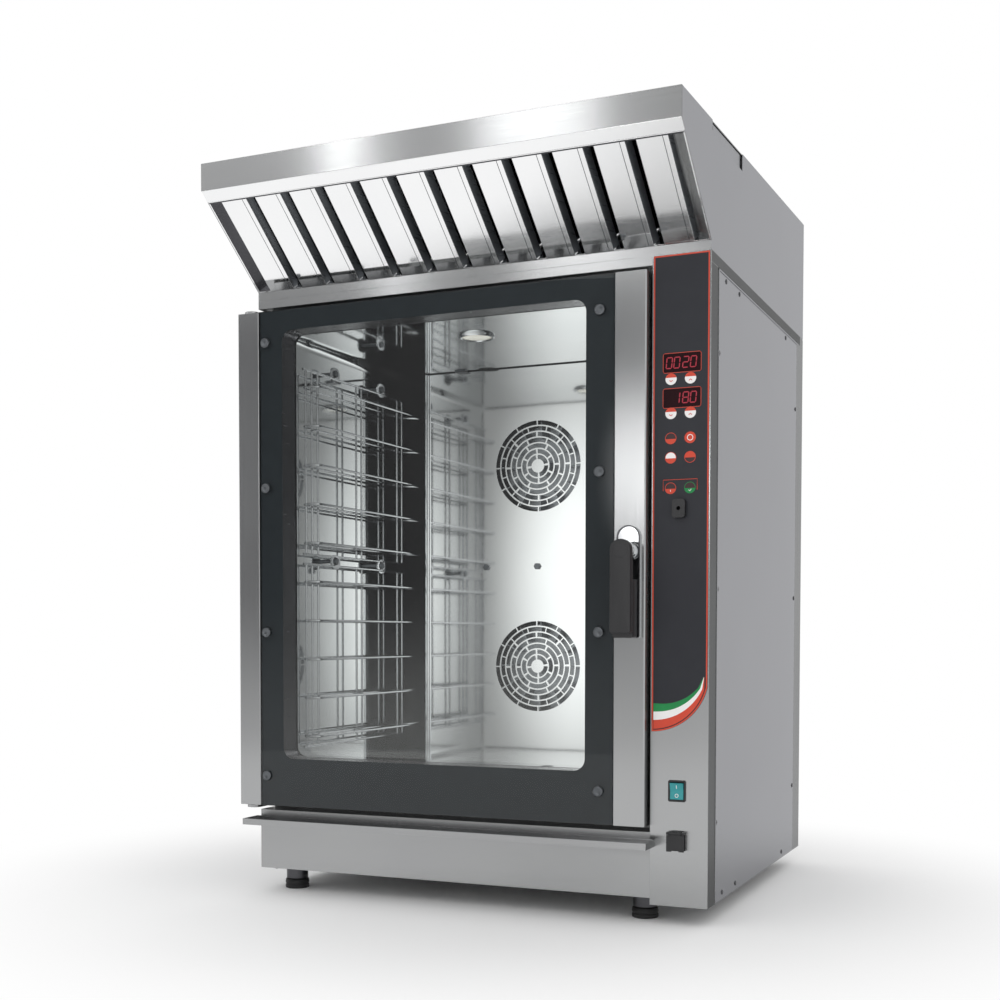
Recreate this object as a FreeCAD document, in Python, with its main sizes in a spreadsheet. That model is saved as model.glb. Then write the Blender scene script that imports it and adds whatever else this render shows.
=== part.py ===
"""Ten-level combi oven with an extractor hood, as a parametric assembly.

X runs to the right, Y to the back and Z up. The origin is on the floor, in the
middle of the oven's outline seen from above. All sizes are in millimetres.
"""
import FreeCAD
import Part
import os
import re
import Sketcher

# Driving dimensions: name, size, what it measures
SIZES = (
    # Casing
    ("body_width", 840, "casing, outer left to right"),
    ("body_depth", 750, "casing, control column front to rear edge"),
    ("body_height", 1080, "floor to the casing's top"),
    ("sheet_gauge", 1.5, "thickness of the casing's steel sheet"),
    ("skirt_bottom", 42, "floor to the lower edge of the front skirt"),
    ("skirt_top", 150, "floor to the sill below the door"),
    ("panel_bottom", 31, "floor to the lower edge of column and side panels"),
    ("panel_drop", 19, "casing top to the side panels' upper edge"),
    ("lip_inset", 2.5, "side lip of the top cover behind the panel face"),
    ("lip_height", 34, "height of the top cover's side lip"),
    ("rear_inset", 30, "rear edge to the rear panel"),
    ("corner_width", 62, "width of the rear corner strips"),
    ("panel_seam", 1.5, "gap between side panel and its neighbours"),
    ("base_lift", 4, "base pan above the skirt's lower edge"),
    ("base_gauge", 2, "thickness of the base pan"),
    ("base_lip", 30, "height of the base pan's side lips"),
    ("strip_height", 15, "height of the front strip above the door"),
    ("door_standoff", 10, "closed door to the mouth frame"),
    ("frame_gauge", 2, "thickness of the mouth frame"),
    ("louvre_width", 120, "length of a rear louvre"),
    ("louvre_height", 6, "height of a rear louvre"),
    ("louvre_pitch", 18, "spacing of the rear louvres"),
    ("louvre_bottom", 820, "floor to the lowest rear louvre"),
    # Feet
    ("foot_side_left", 46, "casing's left side to the left feet"),
    ("foot_side_right", 119, "casing's right side to the right feet"),
    ("foot_front", 52, "column front to the front feet"),
    ("foot_rear", 90, "rear edge to the rear feet"),
    ("boot_radius", 22, "rubber boot of a foot"),
    ("boot_height", 17, "height of a boot"),
    ("stem_radius", 7, "threaded stem of a foot"),
    ("sleeve_radius", 14, "leg sleeve"),
    ("sleeve_gap", 1, "boot top to leg sleeve"),
    ("running_gap", 0.05, "radial clearance of a shaft in its hole"),
    ("stem_rise", 24, "stem above the boot"),
    # Control column
    ("column_width", 96, "control column"),
    ("column_return", 44, "depth of the column's right return"),
    ("overlay_margin", 2, "column edge to the overlay"),
    ("overlay_gauge", 1, "thickness of the overlay"),
    ("overlay_bottom", 315, "floor to the overlay's lower tip"),
    ("overlay_sweep", 72, "rise of the overlay's curved lower edge"),
    ("display_side", 19.5, "column's left edge to the displays"),
    ("display_width", 60, "display window"),
    ("display_height", 29, "display window"),
    ("display_gauge", 0.8, "thickness of a display window"),
    ("display_top", 921, "floor to the upper display's top"),
    ("display_pitch", 56, "spacing of the displays"),
    ("board_inset", 14, "column front to the control board"),
    ("board_gauge", 2, "control board"),
    ("board_drop", 128.5, "column's top to the control board's upper edge"),
    ("board_height", 260, "control board"),
    ("board_side", 8, "column's left edge to the control board"),
    ("key_side", 31.6, "column's left edge to the left key"),
    ("key_pitch", 31.8, "spacing of the two keys in a row"),
    ("key_size", 6, "key switch on the board"),
    ("key_first", 16, "board's lower edge to the lowest keys"),
    ("key_rise", 44, "spacing of the rows of keys"),
    ("jack_width", 21, "upper socket block"),
    ("jack_height", 30, "upper socket block"),
    ("jack_depth", 9, "upper socket in front of the overlay"),
    ("jack_side", 36.5, "column's left edge to the upper socket"),
    ("jack_bottom", 659, "floor to the upper socket"),
    ("jack_bore", 3.2, "radius of the upper socket's hole"),
    ("jack_wall", 3, "wall around the upper socket's hole"),
    ("jack_tail", 12, "upper socket behind the column front"),
    # Mains rocker
    ("rocker_side", 30.6, "column's left edge to the rocker bezel"),
    ("rocker_bottom", 202, "floor to the rocker bezel"),
    ("bezel_width", 29, "rocker bezel"),
    ("bezel_height", 35, "rocker bezel"),
    ("bezel_wall", 3, "rim of the rocker bezel"),
    ("bezel_lip", 1.3, "bezel rim beyond its can"),
    ("bezel_proud", 2, "bezel in front of the column"),
    ("bezel_depth", 16, "bezel behind the column front"),
    ("rocker_gap", 0.6, "clearance around the rocker"),
    ("rocker_proud", 4.5, "rocker's raised end in front of the column"),
    ("rocker_dish", 2.2, "hollow in the rocker's face"),
    ("rocker_tilt", 6, "rocker's tilt at rest, in degrees"),
    ("rocker_body", 7, "rocker behind its pivot"),
    ("rocker_pin", 1.4, "radius of the rocker's pivot"),
    # Flap over the lower socket
    ("flap_side", 30.6, "column's left edge to the flap"),
    ("flap_bottom", 122, "floor to the flap's lower edge"),
    ("flap_width", 29, "flap"),
    ("flap_height", 32, "flap"),
    ("flap_gauge", 2.6, "flap thickness"),
    ("flap_notch", 8, "radius of the flap's finger notch"),
    ("socket_depth", 8, "lower socket in front of the column"),
    ("socket_bore", 6, "radius of the lower socket's hole"),
    ("socket_wall", 3, "wall around the lower socket's hole"),
    ("socket_rise", 14, "flap's lower edge to the socket's axis"),
    ("socket_plate", 2, "lower socket's back plate"),
    ("socket_margin", 3, "flap edge to the socket block"),
    ("socket_tail", 20, "lower socket behind the column front"),
    ("knuckle_radius", 2.6, "flap knuckle"),
    ("flap_pin", 1.2, "radius of the flap's hinge pin"),
    ("flap_gap", 0.8, "clearance around the flap"),
    ("ear_width", 4, "ear that carries the flap's pin"),
    # Cavity
    ("cavity_side", 25, "casing's left side to the cavity"),
    ("cavity_gap", 69, "cavity to the control column"),
    ("cavity_drop", 41, "front strip to the cavity's ceiling"),
    ("cavity_lift", 45, "sill to the cavity's floor"),
    ("back_space", 150, "cavity's back wall to the rear edge"),
    ("liner_gauge", 1.5, "cavity sheet"),
    ("liner_round", 14, "cavity corner radius"),
    ("wool_top", 46, "insulation above and below the cavity"),
    ("wool_side", 20, "insulation to the right of the cavity"),
    ("wool_gap", 1, "insulation to the casing's left lip"),
    ("wool_back", 26, "insulation behind the cavity"),
    ("gasket_width", 13, "door gasket"),
    ("gasket_gap", 0.5, "gasket to the closed door"),
    ("gasket_offset", 6, "mouth edge to the gasket"),
    # Fan baffle and fans
    ("baffle_space", 90, "baffle to the cavity's back wall"),
    ("baffle_width", 508, "baffle"),
    ("baffle_gauge", 1.5, "baffle"),
    ("baffle_gap", 2, "baffle to the cavity's floor and ceiling"),
    ("stud_radius", 5, "stand-off of the baffle"),
    ("stud_side", 114, "cavity middle to the outer stand-offs"),
    ("stud_head", 7, "radius of a stand-off's nut"),
    ("stud_nut", 5, "height of a stand-off's nut"),
    ("clip_width", 24, "clip that holds the baffle's edge"),
    ("clip_reach", 14, "clip in front of the baffle"),
    ("fan_shift", 3.5, "fans' middle above the cavity's middle"),
    ("fan_pitch", 412, "spacing of the fans"),
    ("grille_radius", 95, "slotted grille"),
    ("grille_hub", 14, "plain middle of a grille"),
    ("grille_rings", 5, "rings of slots in a grille"),
    ("grille_slots", 4, "slots in a ring"),
    ("grille_bar", 4.5, "sheet left between two rings"),
    ("grille_web", 7, "sheet left between two slots"),
    ("wheel_radius", 92, "fan wheel"),
    ("wheel_depth", 42, "fan wheel"),
    ("wheel_gap", 16, "baffle to the fan wheel"),
    ("wheel_disc", 3, "fan wheel's back disc"),
    ("blade_count", 12, "fan wheel blades"),
    ("blade_gauge", 2.5, "fan wheel blade"),
    ("blade_length", 34, "fan wheel blade"),
    ("hub_radius", 16, "fan wheel hub"),
    ("shaft_radius", 7, "fan motor shaft"),
    ("shaft_hole", 12, "hole in the cavity's back wall"),
    ("motor_radius", 58, "fan motor"),
    ("motor_length", 84, "fan motor"),
    ("motor_flange", 70, "middle to edge of the motor's square flange"),
    ("flange_gauge", 6, "motor flange"),
    # Heating elements
    ("heater_radius", 118, "heating ring, middle of its tube"),
    ("heater_tube", 4.2, "radius of the heating tube"),
    ("heater_turns", 2, "turns of a heating ring"),
    ("heater_pitch", 20, "spacing of the turns"),
    ("heater_setback", 8, "front of the fan wheel to the first turn"),
    ("clamp_width", 9, "heater clamp"),
    ("terminal_tail", 30, "heater terminals behind the back wall"),
    # Tray racks
    ("rack_inset", 22, "cavity wall to the rack's uprights"),
    ("rack_front", 58, "mouth frame to the rack's first upright"),
    ("rack_behind", 110, "last upright to the cavity's back wall"),
    ("upright_radius", 3, "rack upright"),
    ("rail_radius", 2.5, "rack rail"),
    ("rail_reach", 32, "uprights to the rail under the tray"),
    ("rail_overhang", 24, "rail ends beyond the uprights"),
    ("rack_first", 86, "cavity floor to the lowest rail"),
    ("rack_above", 90.5, "highest rail to the cavity's ceiling"),
    ("rack_foot", 20, "uprights below a section's lowest rail"),
    ("rack_head", 34, "uprights above a section's highest rail"),
    ("rack_levels", 5, "levels of a rack section"),
    ("ear_size", 24, "hanging ear"),
    ("ear_gauge", 3, "hanging ear"),
    ("ear_stand", 10, "ear's hole above the rack's top wire"),
    ("peg_radius", 4, "rack peg"),
    ("peg_head", 7, "radius of a peg's head"),
    ("peg_cap", 3, "thickness of a peg's head"),
    ("peg_play", 0.4, "ear's hole around its peg"),
    # Lamp, steam, drain
    ("lamp_radius", 34, "lamp glass"),
    ("lamp_rim", 4.5, "lamp rim beyond its holder"),
    ("lamp_play", 0.5, "hole around the lamp holder and the steam injection pipe"),
    ("lamp_front", 150, "mouth frame to the lamp"),
    ("lamp_drop", 5, "lamp rim below the ceiling"),
    ("lamp_body", 40, "lamp holder above the ceiling"),
    ("vent_radius", 24, "steam outlet pipe"),
    ("vent_gauge", 1.5, "wall of the steam outlet pipe"),
    ("vent_back", 90, "cavity back wall to the steam outlet"),
    ("vent_side", 110, "cavity middle to the steam outlet"),
    ("vent_rise", 30, "steam outlet above the casing"),
    ("pipe_play", 1, "hole around a pipe"),
    ("drain_radius", 20, "drain pipe"),
    ("drain_gauge", 2, "wall of the drain pipe"),
    ("drain_neck", 16, "drain pipe's upright leg"),
    ("drain_spigot", 19, "drain pipe's end behind the rear panel"),
    ("drain_tail", 26, "drain pipe behind the rear panel's inner face"),
    ("drain_step", 4, "drain pipe's shoulder behind the rear panel's inner face"),
    ("drain_drop", 85, "cavity floor to the drain pipe's axis"),
    ("drain_back", 150, "cavity back wall to the drain"),
    ("inlet_radius", 13.2, "threaded water inlet, three quarter inch"),
    ("inlet_bore", 8, "bore of the water inlet"),
    ("inlet_height", 175, "floor to the water inlet"),
    ("inlet_side", 60, "casing's right side to the water inlet"),
    ("inlet_tail", 24, "water inlet behind the rear panel"),
    ("valve_size", 44, "inlet valve block"),
    ("gland_radius", 14, "cable gland"),
    ("gland_bore", 8, "cable gland's hole"),
    ("gland_step", 2, "gland nut beyond its neck"),
    ("gland_inner", 12, "gland neck inside the rear panel"),
    ("gland_height", 120, "floor to the cable gland"),
    ("gland_tail", 20, "cable gland behind the rear panel"),
    ("spray_radius", 4, "steam injection pipe"),
    ("spray_bore", 2.5, "bore of the steam injection pipe"),
    ("spray_tail", 20, "steam injection pipe behind the insulation"),
    ("spray_rise", 40, "fans' middle to the steam injection pipe"),
    # Electrics
    ("plate_gauge", 2, "electrics plate"),
    ("plate_gap", 6, "insulation to the electrics plate"),
    ("plate_length", 300, "electrics plate"),
    ("plate_height", 420, "electrics plate"),
    ("plate_bottom", 240, "floor to the electrics plate"),
    ("plate_front", 160, "column front to the electrics plate"),
    ("contactor_size", 45, "contactor"),
    ("contactor_depth", 36, "contactor off its plate"),
    ("contactor_pitch", 62, "spacing of the contactors"),
    ("contactor_height", 72, "contactor"),
    ("contactor_rise", 260, "plate's lower edge to the contactors"),
    ("gear_inset", 20, "plate's front edge to the switchgear"),
    ("terminal_rise", 60, "plate's lower edge to the terminal block"),
    ("terminal_height", 32, "terminal block"),
    ("terminal_depth", 24, "terminal block off its plate"),
    ("terminal_length", 180, "terminal block"),
    # Door
    ("door_overhang", 32, "door beyond the casing's left side"),
    ("door_gap", 4, "door to control column"),
    ("door_proud", 20, "door in front of the control column"),
    ("door_thickness", 58, "door"),
    ("door_lift", 10, "sill to the door"),
    ("door_clear", 10, "door to the front strip"),
    ("hinge_stile", 45, "left stile"),
    ("handle_stile", 54, "right stile"),
    ("stile_gauge", 2, "wall of the stiles and rails"),
    ("stile_cap", 12, "end plugs of the stiles"),
    ("glass_gauge", 6, "door glass"),
    ("glass_play", 0.3, "glass to the parts behind it"),
    ("rail_height", 22, "door's bottom rail"),
    ("rail_gap", 1, "window frame to the door's top rail"),
    ("slot_length", 26, "cooling slot in the top rail"),
    ("slot_width", 7, "cooling slot in the top rail"),
    ("slot_count", 15, "cooling slots"),
    ("slot_side", 42.5, "glass edge to the middle of the first cooling slot"),
    ("window_side", 46, "glass edge to the window, left"),
    ("window_gap", 49, "window to the glass edge, right"),
    ("window_bottom", 87, "door's lower edge to the window"),
    ("window_top", 36, "window to the door's upper edge"),
    ("window_round", 20, "window corner radius"),
    ("spacer_wall", 14, "window frame between the panes"),
    ("inner_margin", 14, "window to the inner pane's edge"),
    ("bolt_side_left", 14, "glass edge to the left bolts"),
    ("bolt_side_right", 24, "glass edge to the right bolts"),
    ("bolt_first", 55, "door's lower edge to the lowest bolts"),
    ("bolt_last", 57, "highest bolts to the door's upper edge"),
    ("bolt_head", 8, "radius of a bolt head"),
    ("bolt_dome", 4.5, "height of a bolt head"),
    ("bolt_shank", 4, "radius of a bolt"),
    ("boss_radius", 9, "stand-off behind the glass"),
    # Hinges and latch
    ("hinge_side", 15, "door's left edge to the hinge axis"),
    ("hinge_depth", 25, "door front to the hinge axis"),
    ("pin_radius", 6, "hinge pin"),
    ("pin_length", 16, "hinge pin in the stile"),
    ("hinge_gap", 2, "door to the hinge bracket"),
    ("bracket_gauge", 5, "hinge bracket"),
    ("bracket_reach", 62, "hinge bracket over the mouth frame"),
    ("bracket_round", 13, "radius of the bracket's end"),
    ("handle_side", 27, "door's right edge to the handle's pivot"),
    ("handle_height", 447, "door's lower edge to the handle's pivot"),
    ("base_width", 39, "handle plate"),
    ("base_thick", 5, "handle plate"),
    ("base_above", 22, "pivot to the centre of the plate's arch"),
    ("base_below", 140, "pivot to the plate's lower end"),
    ("lever_width", 34, "handle lever"),
    ("lever_below", 132, "pivot to the lever's lower end"),
    ("lever_slab", 16, "front slab of the lever"),
    ("lever_stand", 50, "lever's face in front of the door"),
    ("grip_top", 46, "pivot to the grip block's top"),
    ("grip_gap", 8, "grip block to the door"),
    ("grip_extra", 8, "grip block below the slab"),
    ("edge_round", 3, "rounded edges of the lever"),
    ("boss_hub", 13, "lever hub"),
    ("hub_gap", 0.5, "lever hub to the handle plate"),
    ("spindle_radius", 6, "latch spindle"),
    ("tongue_length", 22, "spindle to the tongue's tip"),
    ("tongue_width", 14, "latch tongue"),
    ("tongue_gauge", 5, "latch tongue"),
    ("tongue_gap", 1, "tongue to the door's back"),
    ("keeper_gap", 1, "keeper to the latch tongue"),
    ("keeper_width", 16, "keeper"),
    # Drip gutter
    ("gutter_reach", 50, "gutter in front of the skirt"),
    ("gutter_height", 11, "gutter"),
    ("gutter_drop", 23, "sill to the gutter's lower edge"),
    ("gutter_over", 8, "gutter beyond the skirt's ends"),
    # Hood
    ("hood_projection", 179, "hood in front of the control column"),
    ("hood_front_rise", 194, "casing top to the hood's front top edge"),
    ("hood_rear_rise", 234, "casing top to the hood's rear top edge"),
    ("fascia_height", 46, "hood fascia"),
    ("return_run", 19, "fascia's return, to the back"),
    ("return_drop", 14, "fascia's return, down"),
    ("rail_rise", 15, "hood's lower front rail"),
    ("filter_count", 12, "front channels of the grease filter"),
    ("filter_side", 18, "casing side to the first channel's bay"),
    ("channel_width", 49, "front channel"),
    ("channel_depth", 15, "flanges of a channel"),
    ("channel_gauge", 1.2, "channel sheet"),
    ("back_width", 36, "rear channel"),
    ("back_offset", 22, "front face to the rear channels' face"),
    ("frame_depth", 26, "filter frame"),
    ("frame_wall", 2, "filter frame"),
    ("notch_front", 180, "fascia to the cut-out in the hood's right side"),
    ("notch_length", 205, "cut-out in the hood's right side"),
    ("notch_depth", 20, "cut-out in the hood's right side"),
    ("collar_radius", 75, "exhaust collar"),
    ("collar_gauge", 1.5, "wall of the exhaust collar"),
    ("collar_rise", 40, "exhaust collar above the hood"),
    ("collar_skirt", 12, "exhaust collar below the roof"),
    ("collar_back", 250, "rear edge to the exhaust collar"),
    ("scroll_radius", 82, "blower drum"),
    ("scroll_width", 120, "blower drum"),
    ("scroll_gauge", 2, "wall of the blower drum"),
    ("neck_size", 96, "blower outlet"),
    ("neck_gap", 16, "blower outlet to the roof"),
    ("rotor_radius", 64, "blower wheel"),
    ("rotor_width", 96, "blower wheel"),
    ("vane_count", 12, "blower wheel vanes"),
    ("vane_depth", 14, "blower wheel vane"),
    ("vane_gauge", 2, "blower wheel vane"),
    ("rotor_plate", 3, "blower wheel's back plate"),
    ("inlet_ring", 8, "blower drum's inlet inside the wheel's rim"),
    ("shaft_space", 3, "drum's hole around the blower shaft"),
    ("blower_motor", 46, "radius of the blower motor"),
    ("blower_length", 80, "blower motor"),
    # Fasteners
    ("small_round", 3, "corners of small plastic blocks"),
    ("stile_round", 2, "corners of stiles and bezel"),
    ("screw_radius", 4.2, "screw head"),
    ("screw_head", 1.6, "height of a screw head"),
    ("screw_edge", 8, "side panel's upright edges to its screws"),
    ("screw_drop", 10, "side panel's upper edge to its screws"),
    ("screw_lift", 12, "side panel's lower edge to its screws"),
)

# Sizes and places worked out from the driving dimensions
WORKED_OUT = {
    "left": "(door_overhang - body_width - screw_head) / 2",
    "right": "left + body_width",
    "front": "(hood_projection - body_depth) / 2",
    "rear": "front + body_depth",
    "rear_face": "rear - rear_inset",
    "column_left": "right - column_width",
    "column_back": "front + sheet_gauge",
    "column_top": "body_height - sheet_gauge",
    "overlay_front": "front - overlay_gauge",
    "frame_front": "door_back + door_standoff",
    "frame_back": "frame_front + frame_gauge",
    "base_bottom": "skirt_bottom + base_lift",
    "base_top": "base_bottom + base_gauge",
    "panel_top": "body_height - panel_drop",
    "strip_bottom": "body_height - strip_height",
    "cavity_left": "left + cavity_side",
    "cavity_right": "column_left - cavity_gap",
    "cavity_middle": "(cavity_left + cavity_right) / 2",
    "cavity_bottom": "skirt_top + cavity_lift",
    "cavity_top": "strip_bottom - cavity_drop",
    "back_wall": "rear - back_space",
    "wool_rear": "back_wall + liner_gauge + wool_back",
    "wool_right": "cavity_right + liner_gauge + wool_side",
    "baffle_front": "back_wall - baffle_space",
    "baffle_back": "baffle_front + baffle_gauge",
    "wheel_front": "baffle_back + wheel_gap",
    "wheel_back": "wheel_front + wheel_depth",
    "lower_fan": "(cavity_bottom + cavity_top - fan_pitch) / 2 + fan_shift",
    "upper_fan": "lower_fan + fan_pitch",
    "spray_z": "(lower_fan + upper_fan) / 2 + spray_rise",
    "door_left": "left - door_overhang",
    "door_right": "column_left - door_gap",
    "door_front": "front - door_proud",
    "door_back": "door_front + door_thickness",
    "door_bottom": "skirt_top + door_lift",
    "door_top": "strip_bottom - door_clear",
    "glass_left": "door_left + hinge_stile",
    "glass_right": "door_right - handle_stile",
    "glass_back": "door_front + glass_gauge",
    "inner_front": "door_back - glass_gauge - stile_gauge",
    "inner_back": "door_back - stile_gauge",
    "window_left": "glass_left + window_side",
    "window_right": "glass_right - window_gap",
    "window_low": "door_bottom + window_bottom",
    "window_high": "door_top - window_top",
    "rail_low": "window_high + spacer_wall + rail_gap",
    "hinge_x": "door_left + hinge_side",
    "hinge_y": "door_front + hinge_depth",
    "pivot_x": "door_right - handle_side",
    "pivot_z": "door_bottom + handle_height",
    "lever_front": "door_front - lever_stand",
    "lever_back": "lever_front + lever_slab",
    "slot_pitch": "(glass_right - glass_left - 2 * slot_side) / (slot_count - 1)",
    "bolt_pitch": "(door_top - door_bottom - bolt_first - bolt_last) / 3",
    "gutter_bottom": "skirt_top - gutter_drop",
    "hood_lip": "front - hood_projection",
    "hood_front": "body_height + hood_front_rise",
    "hood_rear": "body_height + hood_rear_rise",
    "hood_middle": "(left + right) / 2",
    "hood_inner": "hood_lip + sheet_gauge",
    "fascia_bottom": "hood_front - fascia_height",
    "return_back": "hood_lip + return_run",
    "return_bottom": "fascia_bottom - return_drop",
    "hood_slope": "(hood_rear - hood_front) / (body_depth + hood_projection)",
    "rail_top": "body_height + rail_rise",
    "hood_floor_top": "body_height + sheet_gauge",
    "filter_run": "front - return_back",
    "filter_rise": "return_bottom - rail_top",
    "filter_length": "sqrt(filter_run ^ 2 + filter_rise ^ 2)",
    "filter_pitch": "(body_width - 2 * filter_side) / filter_count",
    "filter_first": "left + filter_side + filter_pitch / 2",
    "collar_y": "rear - collar_back",
    "collar_roof": "hood_front + hood_slope * (collar_y - hood_lip)",
    "blower_z": "hood_floor_top + scroll_radius",
    "lamp_y": "frame_front + lamp_front",
    "vent_x": "cavity_middle - vent_side",
    "vent_y": "back_wall - vent_back",
    "drain_y": "back_wall - drain_back",
    "drain_z": "cavity_bottom - drain_drop",
    "inlet_x": "right - inlet_side",
    "plate_left": "wool_right + plate_gap",
    "rocker_x": "column_left + rocker_side + bezel_width / 2",
    "rocker_z": "rocker_bottom + bezel_height / 2",
    "flap_left": "column_left + flap_side",
    "flap_top": "flap_bottom + flap_height",
    "socket_front": "front - socket_depth",
    "knuckle_y": "socket_front - flap_gap - flap_gauge / 2",
    "knuckle_z": "flap_top - knuckle_radius",
    "rack_y": "frame_front + rack_front",
    "rack_length": "back_wall - rack_behind - rack_y",
    "rack_pitch": "(cavity_top - cavity_bottom - rack_first - rack_above) / (2 * rack_levels - 1)",
    "overlay_left": "column_left + overlay_margin",
    "overlay_right": "right - overlay_margin",
    "overlay_round": "((overlay_right - overlay_left) ^ 2 + overlay_sweep ^ 2) / (2 * overlay_sweep)",
    "board_bottom": "column_top - board_drop - board_height",
    "jack_x": "column_left + jack_side + jack_width / 2",
    "jack_z": "jack_bottom + jack_height / 2",
    "socket_z": "flap_bottom + socket_rise",
    "drain_end": "rear_face + drain_tail",
    "neck_top": "collar_roof - neck_gap",
}

Vector = FreeCAD.Vector
TURN = {
    "x": FreeCAD.Rotation(Vector(0, 1, 0), 90),
    "y": FreeCAD.Rotation(Vector(1, 0, 0), -90),
    "-y": FreeCAD.Rotation(Vector(1, 0, 0), 90),
    "z": FreeCAD.Rotation(),
}
LEGS = {
    "front_left": ("left + foot_side_left", "front + foot_front"),
    "front_right": ("right - foot_side_right", "front + foot_front"),
    "rear_left": ("left + foot_side_left", "rear - foot_rear"),
    "rear_right": ("right - foot_side_right", "rear - foot_rear"),
}

doc = FreeCAD.newDocument("CombiOven")
sheet = doc.addObject("Spreadsheet::Sheet", "Sizes")
nodes = []


def fill_sheet():
    """Write every driving dimension into the spreadsheet, under its own alias."""
    for row, (alias, size, note) in enumerate(SIZES, 1):
        sheet.set("A%d" % row, note)
        sheet.set("B%d" % row, str(size))
        sheet.setAlias("B%d" % row, alias)
    doc.recompute()


def formula(text):
    """Turn names into spreadsheet cells, and worked-out names into their formulas."""
    def swap(match):
        word = match.group(0)
        if word in WORKED_OUT:
            return "(" + formula(WORKED_OUT[word]) + ")"
        return "Sizes." + word if word in ALIASES else word
    return re.sub(r"[a-z_]+", swap, str(text))


def amount(text):
    """The present value of a formula, as a number."""
    result = sheet.evalExpression(formula(text))
    return float(getattr(result, "Value", result))


def count(text):
    return int(round(amount(text)))


def bind(item, **properties):
    for name, text in properties.items():
        item.setExpression(name, formula(text))


def place(item, x="0", y="0", z="0", turn="z"):
    """Put an object at a bound place, turned so that its own Z points along turn."""
    item.Placement = FreeCAD.Placement(Vector(), TURN[turn])
    for axis, text in zip("xyz", (x, y, z)):
        item.setExpression("Placement.Base." + axis, formula(text))
    return item


def box(name, x, y, z):
    """A block between three pairs of bounds."""
    item = doc.addObject("Part::Box", name)
    bind(item, Length="%s - (%s)" % (x[1], x[0]), Width="%s - (%s)" % (y[1], y[0]),
         Height="%s - (%s)" % (z[1], z[0]))
    return place(item, x[0], y[0], z[0])


def rod(name, axis, radius, centre, span):
    """A cylinder along an axis; centre holds the two other coordinates in order."""
    item = doc.addObject("Part::Cylinder", name)
    bind(item, Radius=radius, Height="%s - (%s)" % (span[1], span[0]))
    spot = list(centre)
    spot.insert("xyz".index(axis), span[0])
    return place(item, *spot, turn=axis)


def bar(name, axis, radius, centre, span, sides=6):
    """A straight bar with flat sides; radius reaches to its corners."""
    item = doc.addObject("Part::Prism", name)
    item.Polygon = sides
    bind(item, Circumradius=radius, Height="%s - (%s)" % (span[1], span[0]))
    spot = list(centre)
    spot.insert("xyz".index(axis), span[0])
    return place(item, *spot, turn=axis)


def cut(name, base, *tools):
    item = doc.addObject("Part::Cut", name)
    item.Base = base
    item.Tool = tools[0] if len(tools) == 1 else fuse(name + "_tools", *tools)
    return item


def fuse(name, *items):
    item = doc.addObject("Part::MultiFuse", name)
    item.Shapes = list(items)
    item.Refine = True
    return item


def group(name, items):
    item = doc.addObject("Part::Compound", name)
    item.Links = list(items)
    return item


def tube(name, axis, outer, inner, centre, span, sides):
    """A pipe with flat sides, open at both ends."""
    hole = ("%s - 1" % span[0], "%s + 1" % span[1])
    return cut(name, bar(name + "_outside", axis, outer, centre, span, sides),
               bar(name + "_bore", axis, inner, centre, hole, sides))


def origin_plane(body, role):
    return next(item for item in body.Origin.OriginFeatures if item.Role == role)


def sketch_outline(body, role, points):
    """A closed outline of straight lines whose corners are bound to formulas."""
    sketch = body.newObject("Sketcher::SketchObject", body.Name + "_outline")
    sketch.AttachmentSupport = (origin_plane(body, role), [""])
    sketch.MapMode = "FlatFace"
    spots = [Vector(amount(u), amount(v), 0) for u, v in points]
    after = [(index + 1) % len(points) for index in range(len(points))]
    for index, follower in enumerate(after):
        sketch.addGeometry(Part.LineSegment(spots[index], spots[follower]), False)
    for index, follower in enumerate(after):
        sketch.addConstraint(Sketcher.Constraint("Coincident", index, 2, follower, 1))
    for index, (u, v) in enumerate(points):
        for kind, text, number, axis in (("DistanceX", u, spots[index].x, -2),
                                         ("DistanceY", v, spots[index].y, -1)):
            if text == "0":
                sketch.addConstraint(Sketcher.Constraint("PointOnObject", index, 1, axis))
                continue
            row = sketch.addConstraint(Sketcher.Constraint(kind, index, 1, number))
            sketch.setExpression("Constraints[%d]" % row, formula(text))
    return sketch


def pad(name, plane, points, span):
    """An outline in the xy, xz or yz plane, padded between two bounds on the third axis."""
    body = doc.addObject("PartDesign::Body", name)
    sketch = sketch_outline(body, plane.upper() + "_Plane", points)
    feature = body.newObject("PartDesign::Pad", name + "_pad")
    feature.Profile = sketch
    bind(feature, Length="%s - (%s)" % (span[1], span[0]))
    third = (set("xyz") - set(plane)).pop()
    return place(body, **{third: span[1] if third == "y" else span[0]})


def rounded(name, x, y, z, axis, radius, bevel=False):
    """A block whose four edges along one axis are rounded, or broken with a bevel."""
    body = doc.addObject("PartDesign::Body", name)
    block = body.newObject("PartDesign::AdditiveBox", name + "_block")
    bind(block, Length="%s - (%s)" % (x[1], x[0]), Width="%s - (%s)" % (y[1], y[0]),
         Height="%s - (%s)" % (z[1], z[0]))
    doc.recompute()
    edges = ["Edge%d" % (number + 1) for number, edge in enumerate(block.Shape.Edges)
             if round(abs(getattr(edge.tangentAt(edge.FirstParameter), axis)))]
    feature = body.newObject("PartDesign::Chamfer" if bevel else "PartDesign::Fillet", name + "_edges")
    feature.Base = (block, edges)
    bind(feature, **{"Size" if bevel else "Radius": radius})
    return place(body, x[0], y[0], z[0])


def turned(name, points, spot, turn):
    """An outline of radius and height pairs, turned about its own axis."""
    body = doc.addObject("PartDesign::Body", name)
    sketch = sketch_outline(body, "XZ_Plane", points)
    feature = body.newObject("PartDesign::Revolution", name + "_turn")
    feature.Profile = sketch
    feature.ReferenceAxis = (sketch, ["V_Axis"])
    feature.Angle = 360
    return place(body, *spot, turn=turn)


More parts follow.
